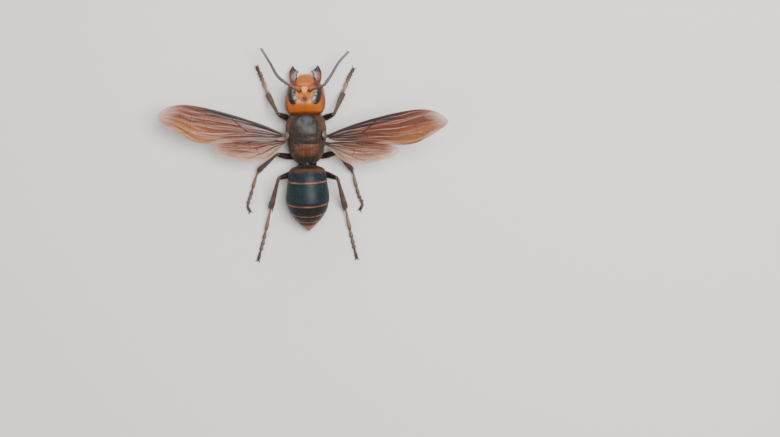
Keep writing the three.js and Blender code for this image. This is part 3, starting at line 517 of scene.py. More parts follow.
def cloudRoughness(tree, skin, share, level):
    # The level and a share of the cloudy tone.
    return add(tree, multiply(tree, skin["Cloud"], share), level)


headFinish = {
    "orange": (0.39, 0.092, 0.009),
    "clouds": 0.78,  # how bright the orange stays in its darkest clouds
    # paler orange for the plate between the antennae, and for painted highlights on the crown and on the
    # shield's lobes
    "pale": (0.70, 0.30, 0.10),
    # dark red-brown for seams, rims and the ocelli, and for painted shade in the antenna sockets and where
    # the head curves away
    "dark": (0.060, 0.010, 0.005),
}


def headMaterial():
    # Orange with darker clouds, then the pale and the dark marks.
    material, tree, bsdf = newMaterial("headSkin")
    skin = useSkin(tree, 5200, 0.35, 260)
    clouded = tuple(headFinish["clouds"] * c for c in headFinish["orange"])
    base = mixColour(tree, skin["Cloud"], headFinish["orange"], clouded)
    setInputs(tree, bsdf, {
        "Base Color": paintMarks(tree, base, headFinish, ("pale", "dark")),
        "Roughness": cloudRoughness(tree, skin, 0.25, 0.27),
        "Specular IOR Level": 0.22,
        "Subsurface Weight": 0.08,
        "Subsurface Radius": (0.0008, 0.0003, 0.0001),
        "Normal": bump(tree, skin["Height"], 0.00003, 0.7),
    })
    return material


eyeFinish = {
    "black": (0.010, 0.008, 0.008),
    "brown": (0.030, 0.018, 0.013),
    # grey of the painted reflection on the inner side of the eye
    "inner": (0.30, 0.28, 0.275),
    # brown of the painted reflection at the front of the eye
    "front": (0.34, 0.12, 0.06),
    "facetScale": 14000.0,
    "cloudScale": 900.0,
}


def eyeMaterial():
    # Black-brown facets, with a broken grey painted reflection on the inner side and a brown painted
    # reflection at the front.
    material, tree, bsdf = newMaterial("eyeFacets")
    place = addNode(tree, "ShaderNodeTexCoord", {}).outputs["Object"]
    facets = addNode(tree, "ShaderNodeTexVoronoi", {"Vector": place, "Scale": eyeFinish["facetScale"]})
    cloudInputs = {"Vector": place, "Scale": eyeFinish["cloudScale"], "Detail": 3.0}
    cloud = addNode(tree, "ShaderNodeTexNoise", cloudInputs).outputs["Fac"]
    base = mixColour(tree, cloud, eyeFinish["black"], eyeFinish["brown"])
    inner = readMark(tree, "inner")
    base = mixColour(tree, multiply(tree, inner, spread(tree, cloud, 0.36, 0.58)), base, eyeFinish["inner"])
    setInputs(tree, bsdf, {
        "Base Color": paintMarks(tree, base, eyeFinish, ("front",)),
        "Roughness": 0.3,
        "Specular IOR Level": 0.18,
        "Coat Weight": add(tree, inner, 0.04, clamp=True),
        "Coat Roughness": 0.2,
        "Normal": bump(tree, add(tree, facets.outputs["Distance"], cloud), 0.00002, 0.6),
    })
    return material


def tonedMaterial(name, dark, light, roughness, down=(0.3, 0.25, 0.2)):
    # A skin whose colour runs from dark to light with the piece's own tone, dusted with pale down where its
    # grey mark says; on the antennae that mark is a painted highlight along the top.
    material, tree, bsdf = newMaterial(name)
    skin = useSkin(tree, 5000, 0.4, 500)
    base = mixColour(tree, readMark(tree, "tone"), dark, light)
    shade = mixColour(tree, skin["Cloud"], (0.7, 0.7, 0.7), (1.25, 1.25, 1.25))
    base = mixColour(tree, 1.0, base, shade, "MULTIPLY")
    dust = multiply(tree, readMark(tree, "grey"), skin["Pits"])
    setInputs(tree, bsdf, {
        "Base Color": mixColour(tree, dust, base, down),
        "Roughness": cloudRoughness(tree, skin, 0.3, roughness - 0.15),
        "Normal": bump(tree, skin["Height"], 0.00003, 0.8),
    })
    return material


thoraxFinish = {
    "dark": (0.013, 0.007, 0.005),
    "red": (0.24, 0.060, 0.016),
    "dust": (0.10, 0.09, 0.085),
    # colour of the painted sheen on the scutum
    "blue": (0.115, 0.122, 0.128),
    # pale specks: dust, and painted glints on the fuzz
    "speck": (0.4, 0.4, 0.4),
}


def thoraxMaterial():
    # Dark brown with red-brown plates, a painted blue-grey sheen on the scutum, and pale specks that are
    # dust and painted glints on the fuzz.
    material, tree, bsdf = newMaterial("thoraxSkin")
    skin = useSkin(tree, 3600, 0.7, 420)
    base = paintMarks(tree, thoraxFinish["dark"], thoraxFinish, ("red",))
    base = mixColour(tree, multiply(tree, skin["Cloud"], 0.1), base, thoraxFinish["dust"])
    blue = multiply(tree, readMark(tree, "sheen"), skin["Cloud"])
    base = mixColour(tree, blue, base, thoraxFinish["blue"])
    setInputs(tree, bsdf, {
        "Base Color": mixColour(tree, multiply(tree, skin["Specks"], 0.5), base, thoraxFinish["speck"]),
        "Specular IOR Level": 0.3,
        "Roughness": 0.42,
        "Sheen Weight": 0.08,
        "Sheen Roughness": 0.5,
        "Normal": bump(tree, skin["Height"], 0.00005, 0.9),
    })
    return material


gasterFinish = {
    "blueBlack": (0.005, 0.014, 0.019),
    "brown": (0.013, 0.007, 0.005),
    "dust": (0.022, 0.038, 0.046),
    # pale specks: dust, and painted glints on the short hairs
    "speck": (0.3, 0.36, 0.38),
    "band": (0.23, 0.085, 0.040),
    "front": (0.10, 0.028, 0.010),
    "tip": (0.36, 0.070, 0.022),
}


def gasterMaterial():
    # Blue-black to brown-black, dusty where it is blue, with a broken front patch and thin bands.
    material, tree, bsdf = newMaterial("gasterSkin")
    skin = useSkin(tree, 5200, 0.5, 300)
    base = paintMarks(tree, gasterFinish["blueBlack"], gasterFinish, ("brown",))
    dusty = calculate(tree, "SUBTRACT", 0.25, multiply(tree, readMark(tree, "brown"), 0.18))
    base = mixColour(tree, multiply(tree, skin["Cloud"], dusty), base, gasterFinish["dust"])
    base = mixColour(tree, multiply(tree, skin["Specks"], 0.45), base, gasterFinish["speck"])
    broken = add(tree, multiply(tree, skin["Cloud"], 0.8), 0.35, clamp=True)
    base = mixColour(tree, multiply(tree, readMark(tree, "front"), broken), base, gasterFinish["front"])
    setInputs(tree, bsdf, {
        "Base Color": paintMarks(tree, base, gasterFinish, ("band", "tip")),
        "Roughness": cloudRoughness(tree, skin, 0.15, 0.36),
        "Specular IOR Level": 0.16,
        "Sheen Weight": 0.06,
        "Sheen Roughness": 0.45,
        "Sheen Tint": (0.55, 0.75, 0.9),
        "Normal": bump(tree, skin["Height"], 0.00002, 0.7),
    })
    return material


wingFinish = {
    "amber": (0.148, 0.036, 0.016),
    "gold": (0.27, 0.097, 0.032),
    "clear": (0.55, 0.31, 0.21),
    "lead": (0.024, 0.020, 0.020),
    "vein": (0.036, 0.019, 0.015),
    # colour of the painted highlights along the folds and near the root
    "silver": (0.60, 0.43, 0.37),
    "opacity": 0.86,
    "clearOpacity": -0.5,  # added where the wing is clear
    "solidOpacity": 0.4,  # added on the veins
    "streaks": (300.0, 1500.0, 1500.0),
}


def wingMaterial():
    # Amber to gold skin with streaks, painted highlights along the folds and dark veins, clearer towards
    # its margins.
    material, tree, bsdf = newMaterial("wingSkin")
    place = addNode(tree, "ShaderNodeTexCoord", {}).outputs["Object"]
    streaks = addNode(tree, "ShaderNodeMapping", {"Vector": place, "Scale": wingFinish["streaks"]})
    cloudInputs = {"Vector": streaks.outputs[0], "Scale": 1.0, "Detail": 5.0, "Roughness": 0.62,
                   "Distortion": 0.5}
    cloud = addNode(tree, "ShaderNodeTexNoise", cloudInputs).outputs["Fac"]
    base = paintMarks(tree, wingFinish["amber"], wingFinish, ("gold", "clear"))
    shade = mixColour(tree, cloud, (0.5, 0.5, 0.5), (1.7, 1.6, 1.55))
    base = mixColour(tree, 1.0, base, shade, "MULTIPLY")
    base = paintMarks(tree, base, wingFinish, ("lead",))
    base = mixColour(tree, multiply(tree, readMark(tree, "silver"), 0.8), base, wingFinish["silver"])
    thinned = multiply(tree, readMark(tree, "clear"), wingFinish["clearOpacity"])
    seen = add(tree, thinned, wingFinish["opacity"])
    solid = calculate(tree, "MAXIMUM", readMark(tree, "lead"), readMark(tree, "vein"))
    setInputs(tree, bsdf, {
        "Base Color": paintMarks(tree, base, wingFinish, ("vein",)),
        "Alpha": add(tree, seen, multiply(tree, solid, wingFinish["solidOpacity"]), clamp=True),
        "Roughness": 0.34,
        "Specular IOR Level": 0.3,
        "Coat Weight": 0.08,
        "Coat Roughness": 0.2,
        "Normal": bump(tree, cloud, 0.00012, 0.8),
    })
    return material


jawFinish = {
    "brown": (0.085, 0.017, 0.008),
    "pale": (0.25, 0.08, 0.05),
    "glint": (0.36, 0.46, 0.53),
    "black": (0.012, 0.010, 0.012),
}


def jawMaterial():
    # Red-brown, paler along the middle, with a blue-grey glint and black edges.
    material, tree, bsdf = newMaterial("jawSkin")
    skin = useSkin(tree, 4200, 0.5, 600)
    base = paintMarks(tree, jawFinish["brown"], jawFinish, ("pale",))
    glint = multiply(tree, readMark(tree, "glint"), add(tree, skin["Cloud"], 0.25, clamp=True))
    base = mixColour(tree, glint, base, jawFinish["glint"])
    setInputs(tree, bsdf, {
        "Base Color": paintMarks(tree, base, jawFinish, ("black",)),
        "Roughness": 0.25,
        "Coat Weight": 0.3,
        "Normal": bump(tree, skin["Height"], 0.00002, 0.7),
    })
    return material


def ocellusMaterial():
    # Smooth dark amber.
    material, tree, bsdf = newMaterial("ocellusGlass")
    setInputs(tree, bsdf, {"Base Color": (0.09, 0.018, 0.010), "Roughness": 0.12, "Coat Weight": 0.5})
    return material


def hairMaterial(name, dark, light):
    # Hairs from dark to light with their own tone, greyed by their own share.
    material, tree, bsdf = newMaterial(name)
    base = mixColour(tree, readMark(tree, "tone"), dark, light)
    base = mixColour(tree, readMark(tree, "grey"), base, (0.42, 0.36, 0.31))
    setInputs(tree, bsdf, {"Base Color": base, "Roughness": 0.45, "Specular IOR Level": 0.4})
    return material


print("materials ready")


# Head: ellipsoids melted together, read along rays from the middle of the head.
# Its own axes are x to the side, v up the face and w out of the face.

head = {
    "grid": (190, 240),  # rows from neck to mouth, columns round
    "blend": 3.2,  # how sharply the parts meet
    "parts": [
        # centre x, v, w; half sizes; power; mirrored
        ((0, 0.25, -0.35), (4.85, 4.75, 3.0), 2.5, False),
        ((2.95, 1.5, -1.0), (2.2, 3.0, 2.5), 2.3, True),
        ((1.5, 3.3, -0.2), (2.4, 1.7, 2.5), 2.2, True),
        ((0, -3.9, 1.05), (2.35, 2.2, 1.5), 2.4, False),
        ((1.05, -5.3, 0.7), (0.75, 0.8, 0.8), 2, True),
        ((0, 0.5, 1.9), (1.25, 1.7, 1.15), 2, False),
        ((3.15, -2.2, -0.35), (1.55, 2.2, 1.9), 2, True),
    ],
    "eyeOutline": [
        (4.0, -15.85), (4.25, -14.7), (4.25, -13.45), (4.0, -12.2), (3.5, -11.35), (2.8, -11.05),
        (2.2, -11.35), (1.95, -12.1), (2.1, -12.95), (2.25, -13.8), (2.3, -14.8), (2.75, -15.75),
        (3.4, -16.15),
    ],
    "eyeBulge": 0.5,
    "eyeDepth": 0.6,  # how far the eye's underside lies below the skin
    "socket": (1.4, 0.85, 3.2),  # the way from the middle of the head to the left antenna's socket
    "ocelli": [(0, -12.8), (0.55, -12.1), (-0.55, -12.1)],
    "ocellusSize": 0.3,
    "ocellusHeight": 0.17,
    # v and half width, of the shield over the mouth and of the plate between the antennae
    "clypeus": [(-6.6, 1.2), (-5.9, 1.5), (-5.0, 2.0), (-4.0, 2.3), (-2.8, 2.25), (-1.8, 1.85),
                (-0.8, 1.2)],
    "plate": [(-0.8, 0.05), (-0.6, 0.5), (-0.2, 0.85), (0.3, 0.95), (0.9, 0.8), (1.8, 0.55),
              (2.6, 0.25), (3.1, 0.02)],
}
tilt = math.radians(drawing["faceTilt"])
faceUp = np.array([0, math.cos(tilt), math.sin(tilt)])
faceOut = np.array([0, -math.sin(tilt), math.cos(tilt)])
headCentre = np.array(drawing["headCentre"])


def halve(inside, low, high):
    # The place between low and high where inside(place) turns from true to false, by halving.
    for _ in range(24):
        mid = (low + high) / 2
        within = inside(mid)
        low = np.where(within, mid, low)
        high = np.where(within, high, mid)
    return low


def headField(local):
    # -ln(sum of e^(-blend min(size) (q - 1))) / blend over the parts, where q = |gap / size| in the
    # part's power: below 0 inside the head, 0 on its skin.
    total = 0
    for at, size, power, both in head["parts"]:
        for side in ((1, -1) if both else (1,)):
            middle = np.array([side * at[0], at[1], at[2]])
            gap = np.abs((local - middle) / np.array(size))
            q = np.sum(gap ** power, axis=-1) ** (1 / power)
            total = total + np.exp(-head["blend"] * (q - 1) * min(size))
    return -np.log(total) / head["blend"]


def headRadius(way):
    # The r at which headField(r way) = 0.
    low = np.full(way.shape[:-1], 1.0)
    return halve(lambda r: headField(way * r[..., None]) < 0, low, low * 9)


def fromHead(local):
    # centre + x (1, 0, 0) + v faceUp + w faceOut
    x, v, w = np.split(np.asarray(local, float), 3, axis=-1)
    return headCentre + x * np.array([1.0, 0, 0]) + v * faceUp + w * faceOut


def toHead(points):
    # The same axes read back: the gap from the centre against each of them.
    gap = np.asarray(points, float) - headCentre
    return np.stack([gap[..., 0], gap @ faceUp, gap @ faceOut], axis=-1)


def headDirection(flat):
    # From the middle of the head to its upper surface over each point of the ground.
    low = np.full(len(flat), headCentre[2])
    height = halve(lambda z: headField(toHead(np.column_stack([flat, z]))) < 0, low, low + 9)
    return unit(toHead(np.column_stack([flat, height])))


def onHead(way, offset=0.0):
    # centre + (r(way) + offset) way
    way = unit(way)
    return fromHead(way * (headRadius(way) + offset)[..., None])


def clypeusGap(local):
    # Millimetres outside the shield over the mouth: ln(e^(5 (|x| - half(v))) + e^(5 (v + 0.85))) / 5.
    v = local[..., 1]
    beside = np.abs(local[..., 0]) - along(head["clypeus"], v)[..., 0]
    return np.log(np.exp(5 * beside) + np.exp(5 * (v + 0.85))) / 5


def makeHead():
    # Radius r(direction) of the melted ellipsoids on a grid of polar angle and turn, plus the lifts
    # of seams and rims: the sum of amount bell(distance, width) and amount step(distance).
    rows, cols = head["grid"]
    polar = np.linspace(0.012, math.pi - 0.012, rows)[:, None]
    turn = turns(cols)[None]
    way = np.stack([np.sin(polar) * np.cos(turn), -np.cos(polar) * np.ones_like(turn),
                    np.sin(polar) * np.sin(turn)], axis=-1)
    radius = headRadius(way)
    local = way * radius[..., None]
    points = fromHead(local)
    front = step(local[..., 2], 0.0, 0.6)
    outline = smoothPath(head["eyeOutline"], 96, closed=True)
    lift, dark, pale = np.zeros((3, rows, cols))
    eyeNear = np.full_like(radius, 9.0)
    for side in (1, -1):
        flat = mirror(points, side)[..., :2]
        gap, _ = lineDistance(flat, outline, closed=True)
        inside = insideOutline(flat, outline)
        signed = np.where(inside, -gap, gap)
        upper = points[..., 2] > headCentre[2] - 0.5
        eyeNear = np.where(upper, np.minimum(eyeNear, signed), eyeNear)
        socket = unit(mirror(head["socket"], side))
        reach = np.arccos(np.clip(way @ socket, -1, 1)) * radius
        lift += 0.13 * bell(reach - 0.62, 0.13) - 0.45 * bell(reach, 0.42)
        # painted shadow in the antenna socket
        dark += 0.85 * bell(reach, 0.6)
    lift += 0.1 * bell(eyeNear - 0.16, 0.13) - 0.42 * step(-eyeNear, -0.02, 0.25)
    dark += 0.35 * bell(eyeNear - 0.05, 0.12)
    shield = clypeusGap(local)
    lift += front * (0.1 * step(-shield, 0.0, 0.3) - 0.12 * bell(shield, 0.08))
    dark += front * 0.6 * bell(shield, 0.1)
    x, v, w = local[..., 0], local[..., 1], local[..., 2]
    # the raised plate between the antennae, round in front and drawn out towards the ocelli
    beside = np.abs(x) - along(head["plate"], v)[..., 0]
    plate = front * step(-beside, 0.0, 0.22) * step(v, -0.8, -0.6)
    lift += 0.16 * plate * (1 - step(v, 1.2, 3.0))
    pale += 0.9 * plate * (1 - step(v, 0.8, 2.2))
    dark += 0.35 * front * bell(beside - 0.05, 0.1) * bell(v - 0.3, 1.3)
    # the cheeks between the shield and the jaws
    cheek = bell(np.abs(x) - 2.9, 1.3) * step(-v, 0.7, 2.0) * step(w, -2.4, -0.6)
    dark += 0.95 * step(shield, 0.0, 0.2) * cheek
    # midline: a hair-fine groove from the plate to the crown and over the back of the head
    midline = bell(x, 0.07) * step(v, 0.6, 1.0)
    lift -= 0.06 * midline
    dark += 0.25 * midline * step(v, 3.6, 4.2)
    lift += 0.1 * bell(np.abs(x) - 1.0, 0.8) * bell(v - 4.1, 0.7) * step(w, -0.5, 1)
    # two pale patches on the crown: painted highlights
    pale += 0.75 * bell(np.abs(x) - 1.2, 0.75) * bell(v - 4.0, 0.38) * step(w, 0.2, 1.5)
    pale += 0.35 * front * bell(x, 1.2) * bell(v + 1.7, 0.5)
    pale += 0.45 * front * bell(np.abs(x) - 1.95, 0.4) * bell(v - 1.6, 1.2)
    for x0, y0 in head["ocelli"]:
        gap = np.hypot(points[..., 0] - x0, points[..., 1] - y0)
        dark += 0.8 * bell(gap, 0.42) * front
        lift -= 0.08 * bell(gap - 0.38, 0.1) * front
    # a dark stain round the three ocelli
    gap = np.hypot(points[..., 0], points[..., 1] + 12.25)
    dark += 0.45 * bell(gap, 0.7) * front + 0.08 * front * step(-v, 0.0, 1.0)
    # the sides, the back and the rear rim are darker: a red-brown rim colour and painted shade where the
    # head curves away
    dark += 0.5 * step(-w, 0.4, 2.4) + 0.6 * step(np.abs(x), 4.0, 4.7) * step(w, -3.0, 0.5)
    dark += 0.6 * step(points[..., 1], -9.4, -9.0)
    # three blunt lobes on the shield's front edge, each with a painted highlight
    lobes = bell(np.abs(x) - 1.05, 0.3) + 0.8 * bell(x, 0.28)
    lift += 0.34 * lobes * bell(v + 5.75, 0.45)
    pale += 0.9 * lobes * bell(v + 5.6, 0.4) * step(w, -1.0, 0.0)
    lift += 0.02 * np.sin(x * 2.3 + v * 1.7) * front
    local = way * (radius + lift)[..., None]
    grid = {"points": fromHead(local), "dark": np.clip(dark, 0, 1), "pale": np.clip(pale, 0, 1)}
    makeObject("headSkin", [grid], ["head"], headMaterial())
    return grid, eyeNear, local


headGrid, headEyeNear, headLocal = makeHead()


def makeEyes():
    # Direction middle + s (outline - middle), radius of the head plus a bulge
    # b sqrt(1.08 - s^2) - 0.04; the underside follows the skin at an even depth.
    outline = smoothPath(head["eyeOutline"], 96, closed=True)
    rim = headDirection(outline)
    middle = unit(rim.mean(axis=0))
    share = np.sin(np.linspace(0.03, math.pi / 2, 34)) * 1.03
    material = eyeMaterial()
    for name, side in bothSides:

        def sheet(shares, offsets):
            way = unit(middle + (rim - middle)[None] * shares[:, None, None])
            return onHead(mirror(way, side), offsets[:, None] * np.ones(len(rim)))

        bulge = head["eyeBulge"] * np.sqrt(np.clip(1.08 - share ** 2, 0, None)) - 0.04
        over = sheet(share, bulge)
        back = share[::-1][3::3]
        under = sheet(back, np.full(len(back), -head["eyeDepth"]))
        points = np.concatenate([over, under])
        local = toHead(mirror(points, side))
        # where the painted reflections lie: grey on the inner half, brown at the front
        inner = 1 - step(np.hypot(local[..., 0] - 2.0, (local[..., 1] - 1.2) * 0.42), 0.95, 1.45)
        front = bell(local[..., 0] - 2.35, 0.5) * bell(local[..., 1] + 0.9, 0.7)
        grid = {"points": points, "inner": inner, "front": 0.6 * front}
        makeObject("eye_facets_" + name, [grid], ["eye_" + name], material)


def makeOcelli():
    # Three short round tubes out of the crown, each standing a little proud of it.
    shells = []
    radius = head["ocellusSize"]
    for x0, y0 in head["ocelli"]:
        way = headDirection(np.array([[x0, y0]]))[0]
        base = onHead(way[None])[0]
        out = unit(base - headCentre)
        path = [base - out * 0.3, base + out * head["ocellusHeight"]]
        shells.append(tube(path, [[0, radius, radius], [1, radius, radius]],
                           sides=20, rings=16, up=(1, 0, 0)))
    makeObject("ocelli", shells, None, ocellusMaterial())


makeEyes()
makeOcelli()
print("head ready")


# Antennae

antennae = {
    "left": [(4.3, -16.3, 9.3), (6.75, -18.4, 8.7), (8.8, -22.05, 7.7), (11.15, -26.05, 6.6)],
    "right": [(-5.0, -15.7, 9.3), (-6.8, -18.2, 8.75), (-8.95, -21.75, 7.8), (-11.65, -24.7, 7.0)],
    "joints": 11,
    "thick": (0.445, 0.32),  # radius of the first joint and of the last
    "scape": [[0, 0.28, 0.28], [0.07, 0.36, 0.36], [0.16, 0.28, 0.28], [0.5, 0.36, 0.34],
              [0.93, 0.43, 0.41], [1, 0.36, 0.36]],
    "bow": 0.18,  # how far the scape bends up
    "dark": (0.024, 0.015, 0.012),
    "light": (0.12, 0.028, 0.012),
    # colour of the painted highlight along the flagellum's upper side
    "down": (0.17, 0.15, 0.14),
}


def makeAntenna(name, side, material):
    # A bowed scape, a bead-like pedicel, then joints whose radius swells a little to their far end.
    path = antennae[name]
    socket = onHead(mirror(head["socket"], side)[None])[0]
    elbow = np.array(path[0])
    middle = (socket + elbow) / 2 + np.array([0, 0, antennae["bow"]])
    start = socket - (middle - socket) * 0.1
    scape = tube([start, middle, elbow], antennae["scape"], sides=24, rings=48)
    scape["tone"] = 0.75 + 0.2 * bell(scape["share"] - 0.6, 0.4)
    count = antennae["joints"]
    first, last = antennae["thick"]
    stations = [[0, 0.2, 0.2]]
    for k in range(count):
        radius = first + (last - first) * k / count
        radius *= 0.85 if k == 0 else 1
        waist = 0.16 if k == count - 1 else radius * 0.84
        stations += [[(k + 0.12) / count, radius * 0.93, radius * 0.93],
                     [(k + 0.82) / count, radius, radius],
                     [(k + 1) / count, waist, waist]]
    columns = 22
    flagellum = tube(path, stations, sides=columns, rings=190)
    ringed = np.abs(((flagellum["share"] * count) % 1) - 0.5) * 2
    flagellum["tone"] = 0.1 + 0.12 * step(flagellum["share"], 0.6, 1) + 0.1 * step(ringed, 0.8, 1.0)
    # the upper side gets a painted highlight, strongest towards the tip
    top = np.sin(turns(columns))[None]
    far = 0.45 + 0.55 * step(flagellum["share"], 0.55, 1.0)
    flagellum["grey"] = 0.9 * step(top, 0.35, 1.0) * far * (1 - 0.6 * step(ringed, 0.85, 1.0))
    nodes = ["antenna_%s_%s" % (name, piece) for piece in ("scape", "flagellum")]
    makeObject("antenna_" + name, [scape, flagellum], nodes, material)


antennaSkin = tonedMaterial("antennaSkin", antennae["dark"], antennae["light"], 0.45, antennae["down"])
for name, side in bothSides:
    makeAntenna(name, side, antennaSkin)
print("antennae ready")


# Jaws: a broad blade between an outer and a toothed inner edge

jaw = {
    "base": (3.1, -16.95, 3.4),
    "pitch": 14.0,  # degrees that the tip hangs down
    "roll": 20.0,
    "grid": (124, 56),  # rows from hinge to tip, columns round
    # each line gives the length along the jaw and the place or thickness there
    "outer": [(-0.9, 0.66), (-0.2, 0.82), (1.1, 1.1), (2.3, 1.25), (3.3, 1.17), (4.1, 0.84),
              (4.6, 0.52), (5.02, 0.2)],
    "inner": [(-0.9, -0.55), (-0.2, -0.6), (0.7, -0.72), (1.3, -0.9), (1.48, -1.22), (1.75, -0.98),
              (2.0, -1.0), (2.6, -1.05), (2.85, -1.35), (3.08, -1.66), (3.3, -1.4), (3.5, -1.0),
              (3.7, -0.95), (3.9, -0.6), (4.15, -0.4), (4.6, -0.12), (5.02, 0.12)],
    "thick": [(-0.9, 0.62), (0.6, 0.58), (2.0, 0.46), (3.4, 0.36), (4.4, 0.22), (5.02, 0.07)],
}


def makeJaw(name, side, material):
    # Ring at length u: across(a) runs between the edges, height(a) = thick(u) sin(a), hollowed inside.
    rows, cols = jaw["grid"]
    u = np.linspace(jaw["outer"][0][0], jaw["outer"][-1][0], rows)
    outer = along(jaw["outer"], u)[:, 0]
    inner = np.interp(u, *np.array(jaw["inner"]).T)
    thick = along(jaw["thick"], u)[:, 0]
    angle = turns(cols)
    a = signedPower(np.cos(angle), 0.85)[None]
    mid = ((outer + inner) / 2)[:, None]
    half = ((outer - inner) / 2)[:, None]
    x = mid + half * a
    h = signedPower(np.sin(angle), 0.9)[None] * thick[:, None]
    upper = np.sin(angle)[None] > 0
    furrow = 0.09 * bell(a - 0.25, 0.13) + 0.07 * bell(a + 0.25, 0.12)
    hollow = 0.16 * bell(a + 0.15, 0.5) * step(u, 0.5, 2.5)[:, None]
    h = h - np.where(upper, (furrow + hollow) * step(u, -0.5, 0.5)[:, None], 0)
    x, h = turned(x, h, jaw["roll"])
    y, z = turned(u[:, None] * np.ones_like(a), h, jaw["pitch"])
    points = np.stack([x, -y, z], axis=-1) + np.array(jaw["base"])
    black = step(u, 2.75, 3.6)[:, None] * np.ones_like(a)
    black = black + step(-a, 0.82, 0.97) * step(u, 0.6, 1.2)[:, None]
    pale = bell(a - 0.12, 0.4) * bell(u - 1.9, 1.3)[:, None] * np.where(upper, 1.0, 0.3)
    glint = bell(a + 0.52, 0.27) * bell(u - 2.3, 1.25)[:, None] * np.where(upper, 1.0, 0.0)
    grid = {"points": mirror(points, side), "black": np.clip(black, 0, 1), "pale": pale, "glint": glint}
    makeObject("jaw_" + name, [grid], ["mandible_" + name], material)


jawSkin = jawMaterial()
for name, side in bothSides:
    makeJaw(name, side, jawSkin)


mouth = {
    # places in the head's own axes
    "tongue": [(0, -2.6, -0.7), (0, -4.6, -0.4), (0, -5.5, 0.0)],
    "tongueSize": [[0, 1.0, 0.6], [0.5, 0.85, 0.5], [1, 0.5, 0.28]],
    "palp": [(0.7, -3.4, -0.9), (1.25, -4.9, -0.9), (1.35, -6.15, -0.4)],
    "palpJoints": 5,
    "dark": (0.12, 0.05, 0.025),
    "light": (0.42, 0.2, 0.08),
}


def makeMouth():
    # A flat tongue and two palps of five joints, each joint widest at four fifths of its length.
    shells = [tube(fromHead(mouth["tongue"]), mouth["tongueSize"], sides=28, rings=40, tone=0.7)]
    count = mouth["palpJoints"]
    stations = [[0, 0.28, 0.28]]
    for k in range(count):
        wide = 0.25 - 0.025 * k
        waist = 0.17 - 0.02 * k
        stations += [[(k + 0.8) / count, wide, wide], [(k + 1) / count, waist, waist]]
    for _, side in bothSides:
        path = fromHead(mirror(mouth["palp"], side))
        shells.append(tube(path, stations, sides=16, rings=70, tone=0.35))
    material = tonedMaterial("mouthSkin", mouth["dark"], mouth["light"], 0.45)
    makeObject("mouthparts_soft", shells, ["mouthparts"], material)


makeMouth()
print("jaws ready")


# Thorax

thorax = {
    "grid": (200, 220),  # rows from neck to waist, columns round
    # y, half width, top, bottom, level of the widest place
    "stations": [
        (-9.7, 1.9, 6.6, 3.4, 5.0), (-9.1, 3.3, 7.8, 2.3, 5.1), (-8.0, 4.45, 9.0, 1.4, 5.2),
        (-6.4, 5.0, 9.85, 0.95, 5.3), (-4.6, 5.2, 10.25, 0.85, 5.4), (-2.8, 5.15, 10.2, 0.85, 5.4),
        (-1.3, 4.85, 9.85, 0.9, 5.2), (0.0, 4.55, 9.1, 1.1, 5.0), (1.4, 4.25, 8.0, 1.5, 4.7),
        (2.6, 3.7, 6.9, 2.1, 4.4), (3.5, 2.6, 6.1, 2.8, 4.4), (4.0, 1.5, 5.5, 3.5, 4.5),
    ],
    "power": 2.35,  # 2 is an ellipse, more is boxier
    "coatDepth": 0.16,  # how far the skin lies below the coat's top
    # y and half width of the shield between the collar's arms
    "scutum": [(-8.9, 1.3), (-8.2, 2.1), (-7.0, 3.0), (-5.6, 3.65), (-4.3, 3.8), (-3.3, 3.6),
               (-2.7, 2.9)],
    "neck": [(0, -11.2, 5.1), (0, -8.8, 5.1)],
    "neckSize": [[0, 1.5, 1.3], [1, 1.6, 1.4]],
    "waist": [(0, 3.3, 4.6), (0, 4.7, 4.95)],
    "waistSize": [[0, 1.0, 0.9], [0.5, 0.75, 0.7], [1, 1.0, 0.9]],
}


def scutumOutline(count=36):
    # The shield between the collar's arms: x = half(y) down one side and back up the other.
    y = np.linspace(thorax["scutum"][0][0], thorax["scutum"][-1][0], count)
    half = along(thorax["scutum"], y)[:, 0]
    side = np.stack([half, y], axis=1)
    return np.concatenate([side, side[::-1] * np.array([-1, 1])])


